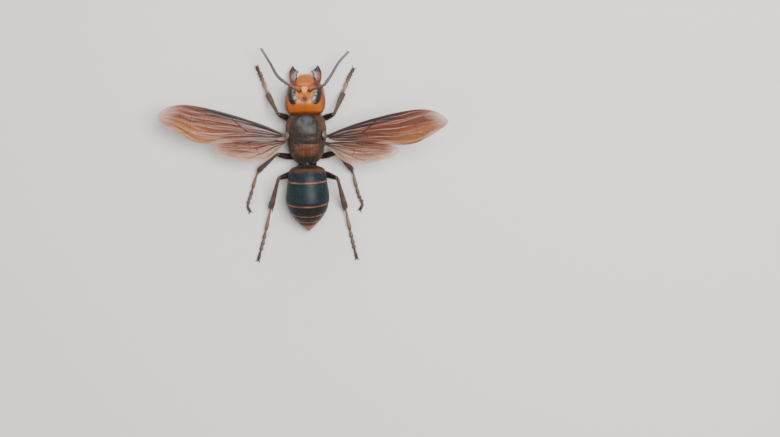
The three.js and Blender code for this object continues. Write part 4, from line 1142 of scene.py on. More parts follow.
def makeThorax():
    # Rounded-box sections carried along Y, drawn in by the coat, with seams and plates as lifts.
    rows, cols = thorax["grid"]
    y = -9.7 + 13.7 * (1 - np.cos(np.linspace(0, math.pi, rows))) / 2
    half, top, bottom, level = along(thorax["stations"], y).T
    angle = turns(cols)
    power = 2 / thorax["power"]
    inset = thorax["coatDepth"]
    above = np.sin(angle)[None] > 0
    rise = np.where(above, (top - level)[:, None], (level - bottom)[:, None]) - inset
    points = np.stack([signedPower(np.cos(angle), power)[None] * (half - inset)[:, None],
                       y[:, None] * np.ones(cols),
                       level[:, None] + signedPower(np.sin(angle), power)[None] * rise], axis=-1)
    normal = gridNormals(points)
    x, yy, z = points[..., 0], points[..., 1], points[..., 2]
    flat = points[..., :2]
    upper = step(z, 6.0, 6.8)
    outline = scutumOutline()
    gap, _ = lineDistance(flat, outline, closed=True)
    signed = np.where(insideOutline(flat, outline), -gap, gap)
    lift = upper * (0.14 * step(-signed, 0.0, 1.1) - 0.15 * bell(signed, 0.13))
    # lines along the scutum: one short middle line in front and two long ones to the rear
    lift -= 0.06 * upper * bell(x, 0.06) * step(-yy, 5.2, 6.0) * step(-signed, 0.1, 0.5)
    lift -= 0.07 * upper * bell(np.abs(x) - (2.1 + 0.12 * (yy + 6)), 0.07) * bell(yy + 5.0, 1.7)
    # scutellum, metanotum and the slope behind them
    scutellum = step(yy, -2.75, -2.4) * (1 - step(yy, -0.85, -0.55))
    scutellum = scutellum * step(3.4 - np.abs(x), 0.0, 0.5) * upper
    lift += 0.2 * scutellum - 0.07 * bell(x, 0.12) * scutellum
    lift -= 0.2 * upper * bell(yy + 0.6, 0.13) * step(3.6 - np.abs(x), 0, 0.6)
    metanotum = step(yy, -0.45, -0.25) * (1 - step(yy, 0.45, 0.65))
    lift += 0.14 * (metanotum * step(3.0 - np.abs(x), 0.0, 0.5) * upper)
    lift -= 0.16 * step(z, 5.0, 6.0) * bell(yy - 0.66, 0.12)
    behind = step(yy, 0.8, 1.6)
    lift -= 0.3 * behind * bell(x, 0.55) * step(z, 4.5, 5.5)
    lift += 0.12 * behind * bell(np.abs(x) - 1.6, 0.9) * step(z, 4.5, 5.5)
    # seams of the sides: the collar's rear edge, under the tegula to the middle leg, and before
    # the propodeum
    outer = step(np.abs(x), 3.0, 3.8)
    collar = (yy + 5.9) * math.cos(math.radians(38)) + (z - 5.2) * -math.sin(math.radians(38))
    sideSeam = outer + (1 - outer) * 0.4
    lift -= 0.17 * bell(collar, 0.1) * sideSeam * (1 - upper * step(-signed, 0, 0.3))
    slant = yy + 2.6 - 0.55 * (z - 5.0) + 0.35 * np.sin(z * 0.9)
    lift -= 0.14 * bell(slant, 0.1) * outer * step(-z, -7.4, -6.6) * step(z, 1.5, 2.2)
    slant = yy - 0.2 + 0.35 * (z - 5.0)
    lift -= 0.16 * bell(slant, 0.11) * outer * step(-z, -7.8, -7.0)
    seam = 0.1 * bell(z - 4.6 - 0.25 * (yy + 2), 0.12) * outer
    lift -= seam * step(yy, -4.8, -4.2) * (1 - step(yy, -1.6, -1.0))
    # belly groove and a shallow hollow under each wing root
    lift -= 0.12 * bell(x, 0.12) * step(-z, -2.0, -1.4)
    lift -= 0.3 * bell(yy + 2.3, 1.1) * bell(z - 7.9, 0.6) * step(np.abs(x), 3.5, 4.2)
    points = points + normal * lift[..., None]
    dome = 1 - step(np.hypot(x / 3.5, (yy + 0.6) / 2.9), 0.82, 1.08)
    streak = 0.66 + 0.34 * np.cos(x * 9.0 + 0.8 * np.sin(yy * 3) + 0.7 * np.sin(x * 2.3))
    red = step(yy, -0.75, -0.35) * dome * step(z, 4.5, 6.0) * streak
    red += 0.35 * bell(np.abs(x) - 3.6, 0.6) * step(yy, 1.0, 2.4)
    arm = step(signed, 0.0, 0.3) * (1 - step(yy, -3.4, -2.2)) * step(z, 4.0, 6.0)
    red += 0.3 * arm
    # where the painted sheen lies: the front of the scutum
    sheen = bell(x, 2.0) * bell(yy + 6.4, 1.7) * upper
    grid = {"points": points, "red": np.clip(red, 0, 1), "sheen": sheen}
    nodes = ["pronotum", "mesoscutum", "scutellum", "metanotum", "mesothorax", "propodeum"]
    neck = tube(thorax["neck"], thorax["neckSize"], sides=40, rings=16, red=0.2)
    waist = tube(thorax["waist"], thorax["waistSize"], sides=40, rings=20, red=0.1)
    makeObject("thoraxSkin", [grid, neck, waist], nodes, thoraxMaterial())
    return grid, signed


thoraxGrid, scutumGap = makeThorax()


tegula = {
    "place": (4.7, -3.1, 8.55),
    "size": (0.82, 1.12, 0.5),
    "lean": 38.0,  # degrees outwards
    "grid": (40, 60),
    "dark": (0.030, 0.015, 0.010),
    "light": (0.115, 0.08, 0.07),
}


def makeTegulae():
    # Flattened domes over the wing roots: an ellipsoid with half sizes a, b, c, bent by
    # 0.06 cos(2.2 y) and leaned outwards.
    material = tonedMaterial("tegulaSkin", tegula["dark"], tegula["light"], 0.42)
    rows, cols = tegula["grid"]
    polar = np.linspace(0.03, math.pi - 0.03, rows)[:, None]
    turn = turns(cols)[None]
    ball = np.stack([np.sin(polar) * np.cos(turn), np.cos(polar) * np.ones_like(turn),
                     np.sin(polar) * np.sin(turn)], axis=-1) * np.array(tegula["size"])
    ball[..., 2] += 0.06 * np.cos(ball[..., 1] * 2.2)
    x, z = turned(ball[..., 0], ball[..., 2], tegula["lean"])
    rim = np.hypot(ball[..., 0] / tegula["size"][0], ball[..., 1] / tegula["size"][1])
    away, rear, level = tegula["place"]
    for name, side in bothSides:
        points = np.stack([side * (x + away), ball[..., 1] + rear, z + level], axis=-1)
        grid = {"points": points, "tone": 1 - step(rim, 0.6, 0.95)}
        makeObject("tegula_cap_" + name, [grid], ["tegula_" + name], material)


makeTegulae()
print("thorax ready")


# Gaster

gaster = {
    # y and height of the axis
    "axis": [(4.3, 4.9), (6.4, 5.1), (8.6, 5.1), (12.5, 4.95), (14.9, 4.65), (17.0, 4.1),
             (18.9, 3.2), (21.5, 1.7)],
    # y, half width, half height
    "width": [
        (4.3, 1.05, 0.9), (4.7, 3.0, 2.65), (5.3, 4.35, 3.8), (6.6, 4.95, 4.5), (8.6, 5.2, 4.85),
        (11.0, 5.6, 5.25), (12.8, 5.7, 5.3), (14.3, 5.5, 5.05), (16.2, 4.85, 4.35), (18.1, 3.5, 3.2),
        (19.5, 2.1, 2.05), (20.4, 1.2, 1.3), (21.5, 0.18, 0.2),
    ],
    "lean": [(4.3, 0), (8.6, 11), (14.2, 18), (17, 24), (21.5, 34)],  # degrees to the rear
    "ends": [8.7, 14.2, 16.55, 18.1, 19.2, 21.5],  # each plate's rear edge
    "step": 0.1,  # how far a rear edge stands above the next plate
    "tuck": 0.75,  # how far a plate starts under the one before it
    "rows": (90, 90, 54, 54, 54, 54),  # of each plate
    "columns": 200,
    "bands": (0.38, 0.36, 0.28, 0.26, 0.1, 0),  # width of each plate's orange edge
    "brown": (0.0, 0.0, 0.75, 1.0, 1.0, 1.0),  # how brown each plate is
}


def gasterRings(y, proud, cols):
    # Ellipses about the axis, leaned to the rear, flat where they meet the ground:
    # (w cos a, y + h sin a sin lean, level + h sin a cos lean).
    width, height = along(gaster["width"], y).T
    lean = np.radians(along(gaster["lean"], y)[:, 0])
    level = along(gaster["axis"], y)[:, 0]
    angle = turns(cols)
    rise = np.sin(angle)[None] * (height + proud)[:, None]
    z = level[:, None] + rise * np.cos(lean)[:, None]
    return np.stack([np.cos(angle)[None] * (width + proud)[:, None],
                     y[:, None] + rise * np.sin(lean)[:, None],
                     np.maximum(0.0, z)], axis=-1), angle


def makeGaster():
    # Each plate starts tucked under the one before it and stands a little proud at its rear edge.
    # Marks are steps of the distance from its edges, waved round the body by cos(n a).
    shells = []
    cols = gaster["columns"]
    for k, end in enumerate(gaster["ends"]):
        start = gaster["width"][0][0] if k == 0 else gaster["ends"][k - 1] - gaster["tuck"]
        rows = gaster["rows"][k]
        share = np.linspace(0, 1, rows)
        if k == 0:
            share = share ** 1.7
        last = k == len(gaster["ends"]) - 1
        y = start + (end - start) * share
        under = 1 - step(y, start, start + 0.9) if k else np.zeros(rows)
        proud = -0.12 - 0.22 * under + (0 if last else gaster["step"] * step(share, 0.2, 1))
        lip = 0 if last else -0.07 * step(share, 0.965, 1.0)
        points, angle = gasterRings(y, proud + lip, cols)
        normal = gridNormals(points)
        a = np.degrees(np.arctan2(np.sin(angle), np.cos(angle)))[None]
        seam = bell(np.abs(np.abs(a + 90) - 62), 2.4)  # where the back plate meets the belly plate
        lift = -0.12 * seam * step(share, 0.05, 0.2)[:, None]
        if not last:
            lift = lift - 0.035 * bell(y - (end - 0.55), 0.14)[:, None]
        lift = lift * step(points[..., 2], 0.02, 0.5)
        points = points + normal * lift[..., None]
        points[..., 2] = np.maximum(0.0, points[..., 2])
        wave = 0.03 * np.sin(angle * 9 + k) + 0.03 * np.sin(angle * 4 + 2 * k)
        width = gaster["bands"][k] + 0.1 * np.abs(np.cos(angle)) + wave
        inside = y[:, None] - (end - width[None])
        band = np.zeros((rows, cols))
        if not last:
            band = step(inside, -0.05, 0.07) * (0.75 + 0.25 * np.cos(angle * 7 + k))
        rim = 1 - step(np.abs(end - y), 0.03, 0.1)
        band = band * (1 - 0.6 * rim[:, None])
        front = np.zeros((rows, cols))
        if k == 0:
            edge = 6.25 + 0.14 * np.cos(angle * 5 + 1) + 0.07 * np.sin(angle * 11)
            front = (1 - step(y[:, None] - edge[None], -0.35, 0.3)) * step(y, 5.0, 5.8)[:, None]
        back = np.sin(angle)[None] > -0.5
        brown = np.full((rows, cols), gaster["brown"][k]) + np.where(back, 0.0, 0.3)
        if k == 0:
            brown = brown + (1 - step(y, 5.4, 6.6))[:, None]
        if k == 1:
            brown = brown + 0.7 * step(y, 12.6, 14.2)[:, None]
        tip = np.zeros((rows, cols))
        if last:
            tip = tip + step(share, 0.12, 0.3)[:, None]
        shells.append({"points": points, "band": band, "front": front,
                       "brown": np.clip(brown, 0, 1), "tip": tip})
    nodes = ["gaster_%d" % (k + 1) for k in range(len(shells))]
    makeObject("gasterPlates", shells, nodes, gasterMaterial())
    return shells


gasterGrids = makeGaster()
print("gaster ready")


# Legs

legShapes = {
    # radii of thigh and shin, half width of the foot, number of spurs, how much pale down the shin
    # carries and how pale each foot joint is
    "front": {"femur": 0.95, "tibia": 0.7, "footWidth": 0.52, "spurs": 1, "dust": 0.35,
              "pale": (0.95, 0.4, 0.15, 0.1, 0.02)},
    "middle": {"femur": 0.92, "tibia": 0.64, "footWidth": 0.42, "spurs": 2, "dust": 0.35,
               "pale": (0.55, 0.3, 0.2, 0.16, 0.02)},
    "hind": {"femur": 0.95, "tibia": 0.74, "footWidth": 0.44, "spurs": 2, "dust": 0.55,
             "pale": (0.55, 0.3, 0.2, 0.16, 0.02)},
}
legs = {
    # hip, start of the thigh, knee, ankle; then the foot's joints to its tip
    "front_left": {
        "joints": [(2.2, -7.5, 2.2), (3.2, -7.4, 1.2), (7.25, -8.95, 5.6), (10.1, -14.7, 1.6)],
        "foot": [(11.35, -18.3, 0.75), (12.75, -21.7, 0.5)],
    },
    "front_right": {
        "joints": [(-2.2, -7.5, 2.2), (-3.2, -7.4, 1.2), (-7.4, -8.6, 5.6), (-9.8, -14.45, 1.6)],
        "foot": [(-11.15, -18.15, 0.75), (-12.5, -20.6, 0.5)],
    },
    "middle_left": {
        "joints": [(1.75, -0.4, 1.8), (3.1, 2.3, 1.0), (7.85, 1.55, 5.2), (13.15, 5.7, 1.6)],
        "foot": [(14.9, 11.05, 0.75), (16.0, 14.7, 0.6), (15.55, 16.0, 0.5)],
    },
    "middle_right": {
        "joints": [(-1.75, -0.4, 1.8), (-3.1, 2.3, 1.0), (-7.85, 1.4, 5.2), (-11.75, 6.0, 1.6)],
        "foot": [(-13.15, 12.25, 0.75), (-14.1, 14.9, 0.6), (-13.55, 16.15, 0.5)],
    },
    "hind_left": {
        "joints": [(1.2, 2.6, 2.3), (2.3, 5.9, 0.95), (7.4, 7.75, 6.6), (9.95, 15.6, 1.9)],
        "foot": [(11.75, 22.6, 0.8), (13.6, 28.8, 0.5)],
    },
    "hind_right": {
        "joints": [(-1.2, 2.6, 2.3), (-2.3, 5.9, 0.95), (-7.95, 8.15, 6.6), (-9.7, 16.1, 1.9)],
        "foot": [(-10.85, 22.35, 0.8), (-12.25, 28.9, 0.5)],
    },
}
legSizes = {
    # along each piece: share, half width and half height; of thigh and shin, against their radius
    "coxa": [[0, 0.8, 0.9], [0.4, 0.96, 1.0], [1, 0.62, 0.64]],
    "joint": [[0, 0.42, 0.42], [0.5, 0.6, 0.6], [1, 0.5, 0.5]],
    "thigh": [[0, 0.5, 0.5], [0.18, 0.74, 0.76], [0.45, 0.88, 0.95], [0.82, 0.66, 0.72],
              [0.95, 0.56, 0.62], [1, 0.5, 0.55]],
    "shin": [[0, 0.5, 0.5], [0.05, 0.62, 0.62], [0.12, 0.56, 0.56], [0.55, 0.84, 0.82],
             [0.9, 1.04, 0.94], [1, 0.8, 0.7]],
    "spur": [[0, 0.13, 0.13], [0.5, 0.09, 0.09], [1, 0.03, 0.03]],
    "claw": [[0, 0.16, 0.17], [0.5, 0.12, 0.13], [1, 0.04, 0.04]],
    "pad": [[0, 0.2, 0.16], [0.6, 0.24, 0.14], [1, 0.14, 0.08]],
}
foot = {
    "ends": [0, 0.43, 0.59, 0.71, 0.81, 1],  # where the five joints meet, as shares of the foot
    "wide": (1, 1.05, 1.1, 1.1, 0.95),  # each joint against the foot's half width
    "dust": (0.1, 0.3, 0.35, 0.35, 0.05),  # pale down on each joint
    "height": 0.36,
    "clawLength": 0.85,
    "clawSpread": 0.55,
    "clawHeights": [0.42, 0.48, 0.3, 0.12],
    "spurLength": 1.45,
    "lowest": 0.02,  # nothing lies closer to the floor
}
legSkinColours = {
    "dark": (0.014, 0.008, 0.006),
    "light": (0.27, 0.14, 0.06),
    "down": (0.15, 0.108, 0.082),
}


def offFloor(shell, drop=0.0):
    # z = the greater of z - drop and the lowest place
    shell["points"][..., 2] = np.maximum(shell["points"][..., 2] - drop, foot["lowest"])
    return shell


def footPieces(ankle, path, wide, pale):
    # Five joints one after the other, each narrow at its root and wide at its far end, then two
    # claws whose points lie at tip + length way + spread across, and a pad between them.
    count = curves["tubePoints"]
    line = smoothPath([ankle] + list(path), count + 1)
    shells = []
    for k in range(5):
        first, last = (int(round(count * foot["ends"][k + j])) for j in range(2))
        piece = line[max(first - 2, 0):last + 1]
        r = wide * foot["wide"][k]
        h = foot["height"]
        flare = 1.12 if k < 4 else 1.0
        stations = [[0, r * 0.55, h * 0.7], [0.35, r * 0.75, h * 0.8], [0.85, r * flare, h],
                    [1, r * 0.9, h * 0.85]]
        shell = tube(piece, stations, sides=18, rings=22, roundness=0.7, grey=foot["dust"][k])
        shell["tone"] = pale[k] * (1 - 0.45 * step(shell["share"], 0.7, 1.0))
        shells.append(offFloor(shell))
    tip = line[-1]
    way = unit(unit(line[-1] - line[-12]) * np.array([1, 1, 0]))
    across = np.cross(way, [0, 0, 1])
    length, spread = foot["clawLength"], foot["clawSpread"]
    for side in (1, -1):
        path = np.array([tip - way * 0.25 + across * side * 0.12,
                         tip + way * 0.3 + across * side * spread * 0.62,
                         tip + way * length * 0.8 + across * side * spread * 0.95,
                         tip + way * length + across * side * spread])
        path[:, 2] = foot["clawHeights"]
        claw = tube(path, legSizes["claw"], sides=12, rings=22)
        claw["tone"] = 0.15 * (1 - claw["share"])
        shells.append(claw)
    pad = tube([tip - way * 0.1, tip + way * 0.5], legSizes["pad"], sides=16, rings=16, tone=0.3)
    return shells + [offFloor(pad, 0.12)]


def makeLeg(name, material):
    # Tubes from hip to ankle, spurs that leave the shin at ankle + length way + lean aside, where
    # aside = inwards cos a + below sin a, and the foot.
    spec = legs[name]
    kind = legShapes[name.split("_")[0]]
    hip, start, knee, ankle = (np.array(p) for p in spec["joints"])
    t = kind["tibia"]

    def scaled(part, radius):
        return [[share, radius * wide, radius * high] for share, wide, high in legSizes[part]]

    body = hip - (start - hip) * 0.1
    turn = hip + (start - hip) * 0.66
    coxa = tube([body, hip + (start - hip) * 0.35, turn], legSizes["coxa"],
                sides=24, rings=30, tone=0.02)
    joint = tube([hip + (start - hip) * 0.6, start + (knee - start) * 0.07], legSizes["joint"],
                 sides=20, rings=22, tone=0.05)
    middle = (start + knee) / 2 - np.array([0, 0, 0.3])
    thigh = tube([start, middle, knee], scaled("thigh", kind["femur"]), sides=26, rings=54)
    thigh["tone"] = 0.02 + 0.2 * step(thigh["share"], 0.93, 1.0)
    way = unit(ankle - knee)
    shin = tube([knee - way * 0.1, ankle], scaled("shin", t), sides=24, rings=60)
    share = shin["share"]
    shin["tone"] = 0.07 + 0.05 * step(share, 0.5, 1) - 0.06 * bell(share - 0.95, 0.05)
    shin["grey"] = kind["dust"] * (0.7 + 0.3 * np.sin(share * 21)) * bell(share - 0.5, 0.6)
    across = unit(np.cross(way, [0, 0, 1]))
    inwards = -across if across[0] * ankle[0] > 0 else across
    below = unit(np.cross(way, inwards))
    below = -below if below[2] > 0 else below
    shells = [coxa, joint, thigh, shin]
    for angle in (0.15, 0.9)[:kind["spurs"]]:
        aside = inwards * math.cos(angle) + below * math.sin(angle)
        root = ankle - way * 0.3 + aside * t * 0.62
        path = [root, root + way * foot["spurLength"] * 0.5 + aside * 0.22,
                root + way * foot["spurLength"] + aside * 0.26]
        shells.append(offFloor(tube(path, legSizes["spur"], sides=12, rings=20, tone=0.2)))
    feet = footPieces(ankle, spec["foot"], kind["footWidth"], kind["pale"])
    nodes = ["leg_%s_%s" % (name, part) for part in ("coxa", "femur", "tibia", "tarsus")]
    makeObject("leg_" + name, shells + feet, nodes, material)
    return {"thigh": [thigh], "shin": [shin], "foot": feet[:5]}


legSkin = tonedMaterial("legSkin", legSkinColours["dark"], legSkinColours["light"], 0.45,
                        legSkinColours["down"])
legGrids = {name: makeLeg(name, legSkin) for name in legs}
print("legs ready")


# Wings: u runs from root to tip, v towards the leading edge

wings = {
    # edges and veins as u and v; each vein ends with its width at its first and last point
    "fore": {
        "grid": (380, 100),  # rows from root to tip, columns from edge to edge on each face
        "lead": [(0, 0.4), (2, 1.0), (5, 1.8), (10, 2.7), (14.2, 3.35), (19.3, 3.9), (24.8, 4.1),
                 (27.6, 3.75), (30.1, 2.8), (31.9, 1.4), (32.8, 0)],
        "rear": [(0, -0.7), (1.4, -1.45), (4, -2.2), (8.5, -2.95), (12.6, -3.75), (16.2, -4.6),
                 (19.0, -5.05), (22.6, -5.0), (26.2, -3.9), (29.4, -2.5), (31.9, -1.15), (32.8, 0)],
        "veins": [
            ([(0, 0.05), (5, 1.35), (10, 2.3), (14.2, 2.95), (19.2, 3.5), (21.2, 3.6)], (0.32, 0.3)),
            ([(21.2, 3.62), (24.8, 3.8), (27.4, 3.5), (29.8, 2.65)], (0.16, 0.08)),
            ([(0, -0.15), (4.5, -0.35), (9, -0.5)], (0.24, 0.18)),
            ([(9, -0.5), (11.3, 0.75), (14.3, 2.85)], (0.16, 0.13)),
            ([(11.3, 0.75), (15.4, 0.25), (20.2, 0.2)], (0.13, 0.12)),
            ([(20.2, 0.2), (23.8, 0.25), (27, 0.75), (29.2, 0.7)], (0.13, 0.1)),
            ([(9, -0.5), (14, -1.35), (18.6, -1.9), (24, -2.6), (25.5, -3.1)], (0.16, 0.1)),
            ([(0.5, -0.42), (6, -1.3), (10.8, -1.9), (16.2, -3.2)], (0.17, 0.1)),
            ([(20, 3.3), (20.7, 2.2), (23.8, 1.95), (26.4, 2.3), (28.4, 3.1)], (0.12, 0.08)),
            ([(20.7, 2.2), (20.2, 0.2), (18.6, -1.9)], (0.1, 0.1)),
            ([(23.8, 1.95), (23.9, 0.25), (24, -2.6)], (0.1, 0.1)),
            ([(26.4, 2.3), (27, 0.75)], (0.1, 0.1)),
            ([(10, -0.75), (10.8, -1.9)], (0.08, 0.08)),
        ],
        "folds": 16,
        "bundle": 0.95,  # how dark the leading edge is
        "nearRoot": 1.0,  # how strong the crowded veins near the root are
        "goldShare": 1.0,
        "crowd": 26,  # how closely they stand
    },
    "hind": {
        "grid": (300, 96),
        "lead": [(0, 0.3), (4, 0.85), (9, 1.35), (13, 1.5), (16.6, 1.2), (18.8, 0.55), (19.5, -0.25)],
        "rear": [(0, -0.4), (1.5, -1.65), (3.6, -3.4), (6.2, -4.7), (9.2, -4.65), (12.8, -3.85),
                 (16, -2.8), (18.4, -1.6), (19.5, -0.25)],
        "veins": [
            ([(0, 0.08), (4, 0.55), (9, 1.0), (12.6, 1.1)], (0.2, 0.1)),
            ([(7.6, 0.85), (12.0, 0.1), (15.6, -0.3)], (0.12, 0.09)),
            ([(0, -0.1), (4.6, -0.5), (9.2, -1.25), (14.2, -2.5)], (0.15, 0.09)),
            ([(0.4, -0.35), (3.6, -1.35), (7.0, -2.7), (10.4, -3.6)], (0.14, 0.09)),
            ([(9.2, -1.25), (9.6, 0.55)], (0.1, 0.1)),
            ([(7.0, -2.7), (7.9, -0.95)], (0.1, 0.1)),
        ],
        "folds": 15,
        "bundle": 0.6,
        "nearRoot": 0.75,
        "goldShare": 0.5,
        "crowd": 20,
    },
    "places": {
        # angles in degrees: sweep ahead, raise of the tip, roll of the leading edge upwards
        "forewing_left": {"side": 1, "root": (5.75, -3.3, 8.1), "sweep": 9.6, "raise": 4, "roll": 3},
        "forewing_right": {"side": -1, "root": (-5.8, -2.8, 8.1), "sweep": 4.8, "raise": 20, "roll": 28},
        "hindwing_left": {"side": 1, "root": (5.2, -1.7, 6.9), "sweep": -3.8, "raise": 3, "roll": 4},
        "hindwing_right": {"side": -1, "root": (-5.2, -0.9, 6.5), "sweep": -6.5, "raise": 12, "roll": 10},
    },
    "edgePoints": 400,  # points read along each edge
    "membrane": 0.03,  # half the skin's thickness
    "crinkle": 0.2,  # height of the creases
    "hingeSize": [[0, 1, 0.8], [0.5, 1.1, 0.7], [1, 0.7, 0.45]],
    "hingeDark": (0.035, 0.02, 0.015),
    "hingeLight": (0.16, 0.085, 0.055),
    # how far across the wing the dark bundle reaches, along the wing
    "bundleWidth": [[0, 0.8], [0.12, 0.55], [0.3, 0.31], [0.5, 0.23], [0.66, 0.17], [1, 0.05]],
}


def wingFrame(spec):
    # Outwards (side cos s cos r, -sin s cos r, sin r) for sweep s and raise r; ahead lies across it,
    # turned up by the roll, and above is their cross product.
    sweep, lift, roll = (math.radians(spec[key]) for key in ("sweep", "raise", "roll"))
    outwards = np.array([spec["side"] * math.cos(sweep) * math.cos(lift),
                         -math.sin(sweep) * math.cos(lift), math.sin(lift)])
    ahead = np.array([0, -math.cos(roll), math.sin(roll)])
    ahead = unit(ahead - outwards * (ahead @ outwards))
    above = np.cross(outwards, ahead)
    if above[2] < 0:
        above = -above
    return outwards, ahead, above


def makeWing(name, seed, material):
    # Point (t, q) lies between the leading edge at t and the rear edge at t; the two faces are the
    # same sheet a skin's thickness apart, lifted along veins and creased along the wing.
    spec = wings["places"][name]
    fore = name.startswith("fore")
    kind = wings["fore" if fore else "hind"]
    rows, half = kind["grid"]
    draw = np.random.default_rng(seed)
    # even rows up to the last seventh, then closer and closer to the tip
    blade = np.linspace(0, 0.86, rows - 40, endpoint=False)
    ease = np.concatenate([blade, 0.86 + 0.1385 * np.sin(np.linspace(0, math.pi / 2, 40))])
    count = wings["edgePoints"]
    lead, rear = (readLine(smoothPath(kind[edge], count), np.arange(count), ease * (count - 1))
                  for edge in ("lead", "rear"))
    q = (1 - np.cos(np.linspace(0, math.pi, half))) / 2 * 0.5 + np.linspace(0, 1, half) * 0.5
    plan = lead[:, None] * (1 - q)[None, :, None] + rear[:, None] * q[None, :, None]
    t = ease[:, None] * np.ones(half)
    qq = q[None] * np.ones((rows, 1))
    vein, ridge, crease, silver = np.zeros((4, rows, half))
    for line, (first, last) in kind["veins"]:
        path = smoothPath(line, 10 * len(line)) if len(line) > 2 else np.array(line, float)
        gap, share = lineDistance(plan, path)
        width = first + (last - first) * share
        ridge = np.maximum(ridge, bell(gap, 0.8 * width) * width)
        vein = np.maximum(vein, 1 - step(gap, width * 0.55, width * 1.25))
    edge = np.minimum(np.minimum(qq, 1 - qq) * 8, (1 - t) * 14)
    fade = step(edge, 0.0, 1.0) * step(t, 0.02, 0.14)
    for k in range(kind["folds"]):
        middle = (k + 0.7) / (kind["folds"] + 0.4) + 0.02 * draw.standard_normal()
        wander = 0.02 * np.sin(t * draw.uniform(5, 11) + draw.uniform(0, 6))
        wander = wander + 0.009 * np.sin(t * draw.uniform(20, 32) + k)
        wander = wander + draw.uniform(-0.28, 0.28) * (t - 0.35)
        depth = draw.uniform(0.35, 1.0) * bell(t - draw.uniform(0.2, 0.75), draw.uniform(0.15, 0.38))
        width = 0.013 + 0.009 * draw.random()
        away = np.abs(qq - middle - wander)
        sign = 1 if k % 3 else -1
        crease += sign * depth * (np.exp(-away / (1.6 * width)) - 0.2)
        # a painted highlight along each raised crease
        silver = np.maximum(silver, (sign > 0) * depth * bell(away, width * 0.8))
    ripple = 0.25 * np.sin(qq * 34 + 3 * np.sin(t * 9)) * bell(t - 0.8, 0.22)
    sheet = wings["crinkle"] * fade * (crease + ripple)
    thick = wings["membrane"] * (1 + 2.5 * (1 - step(t, 0.0, 0.1)))
    top = sheet + thick + ridge * 0.75
    low = sheet - thick - ridge * 0.35
    outwards, ahead, above = wingFrame(spec)
    root = np.array(spec["root"])

    def place(height):
        return root + plan[..., :1] * outwards + plan[..., 1:] * ahead + height[..., None] * above

    points = np.concatenate([place(top), place(low)[:, ::-1]], axis=1)

    def both(field):
        return np.concatenate([field, field[:, ::-1]], axis=1)

    # the dark bundle along the leading edge, broad at the root and faint past the middle
    broad = along(wings["bundleWidth"], ease)
    bundle = (1 - step(qq - broad, -0.08, 0.04)) * (1 - 0.9 * step(t, 0.48, 0.82)) * kind["bundle"]
    gold = step(t + 0.35 * qq, 0.62, 0.95) * step(qq, 0.35, 0.7) * kind["goldShare"]
    clear = step(t - 0.12 * qq, 0.72, 0.95) * 0.85 + 0.5 * step(qq + 0.1 * np.sin(t * 17), 0.93, 1.02)
    if not fore:
        clear = clear + 0.1 + 0.65 * step(qq + 0.12 * np.sin(t * 8), 0.35, 0.85)
    # grey veins and painted highlights on the folds crowd together near the root
    crowd = 0.5 + 0.5 * np.sin(qq * kind["crowd"] + 2.0 * np.sin(t * 11) + seed)
    near = (1 - step(t, 0.12, 0.42)) * step(t, 0.0, 0.05)
    bundle = np.maximum(bundle, near * (0.62 + 0.33 * step(crowd, 0.4, 0.7)) * kind["nearRoot"])
    silver = silver * (1 - 0.75 * bundle) * (1 - 0.45 * gold)
    silver = np.maximum(silver, 0.42 * near * (1 - step(crowd, 0.08, 0.3)))
    glints = bell(np.sin(qq * 40 + 3 * np.sin(t * 6)) - 1, 0.22)
    silver = np.maximum(silver, 0.5 * bundle * glints * (1 - step(t, 0.3, 0.6)))
    vein = vein * (1 - 0.45 * step(t, 0.35, 0.6))
    marks = {"vein": vein, "lead": bundle, "gold": gold, "clear": np.clip(clear, 0, 1),
             "silver": silver}
    grid = {"points": points, **{key: both(value) for key, value in marks.items()}}
    makeObject("wing_" + name, [grid], [name], material)


wingSkin = wingMaterial()
for seed, name in enumerate(wings["places"]):
    makeWing(name, 20 + seed, wingSkin)


def makeWingRoots():
    # Two small arms from the thorax's side to the root of each wing, shifted along the wing's own
    # ahead: inner - shift, root + 0.1 outwards + shift ahead, root + 1.3 outwards + 0.9 shift ahead.
    shells = []
    for spec in wings["places"].values():
        outwards, ahead, _ = wingFrame(spec)
        root = np.array(spec["root"])
        inner = np.array([spec["side"] * 4.3, root[1] + 0.25, root[2] - 0.35])
        for shift, radius in ((0.22, 0.26), (-0.2, 0.2)):
            path = [inner + np.array([0, -shift, 0]), root + outwards * 0.1 + ahead * shift,
                    root + outwards * 1.3 + ahead * shift * 0.9]
            size = [[share, radius * wide, radius * high] for share, wide, high in wings["hingeSize"]]
            shells.append(tube(path, size, sides=16, rings=30, tone=0.4))
    material = tonedMaterial("hingeSkin", wings["hingeDark"], wings["hingeLight"], 0.4)
    makeObject("wingRoots", shells, None, material)


makeWingRoots()
print("wings ready")


# Coats: many short hairs in one mesh

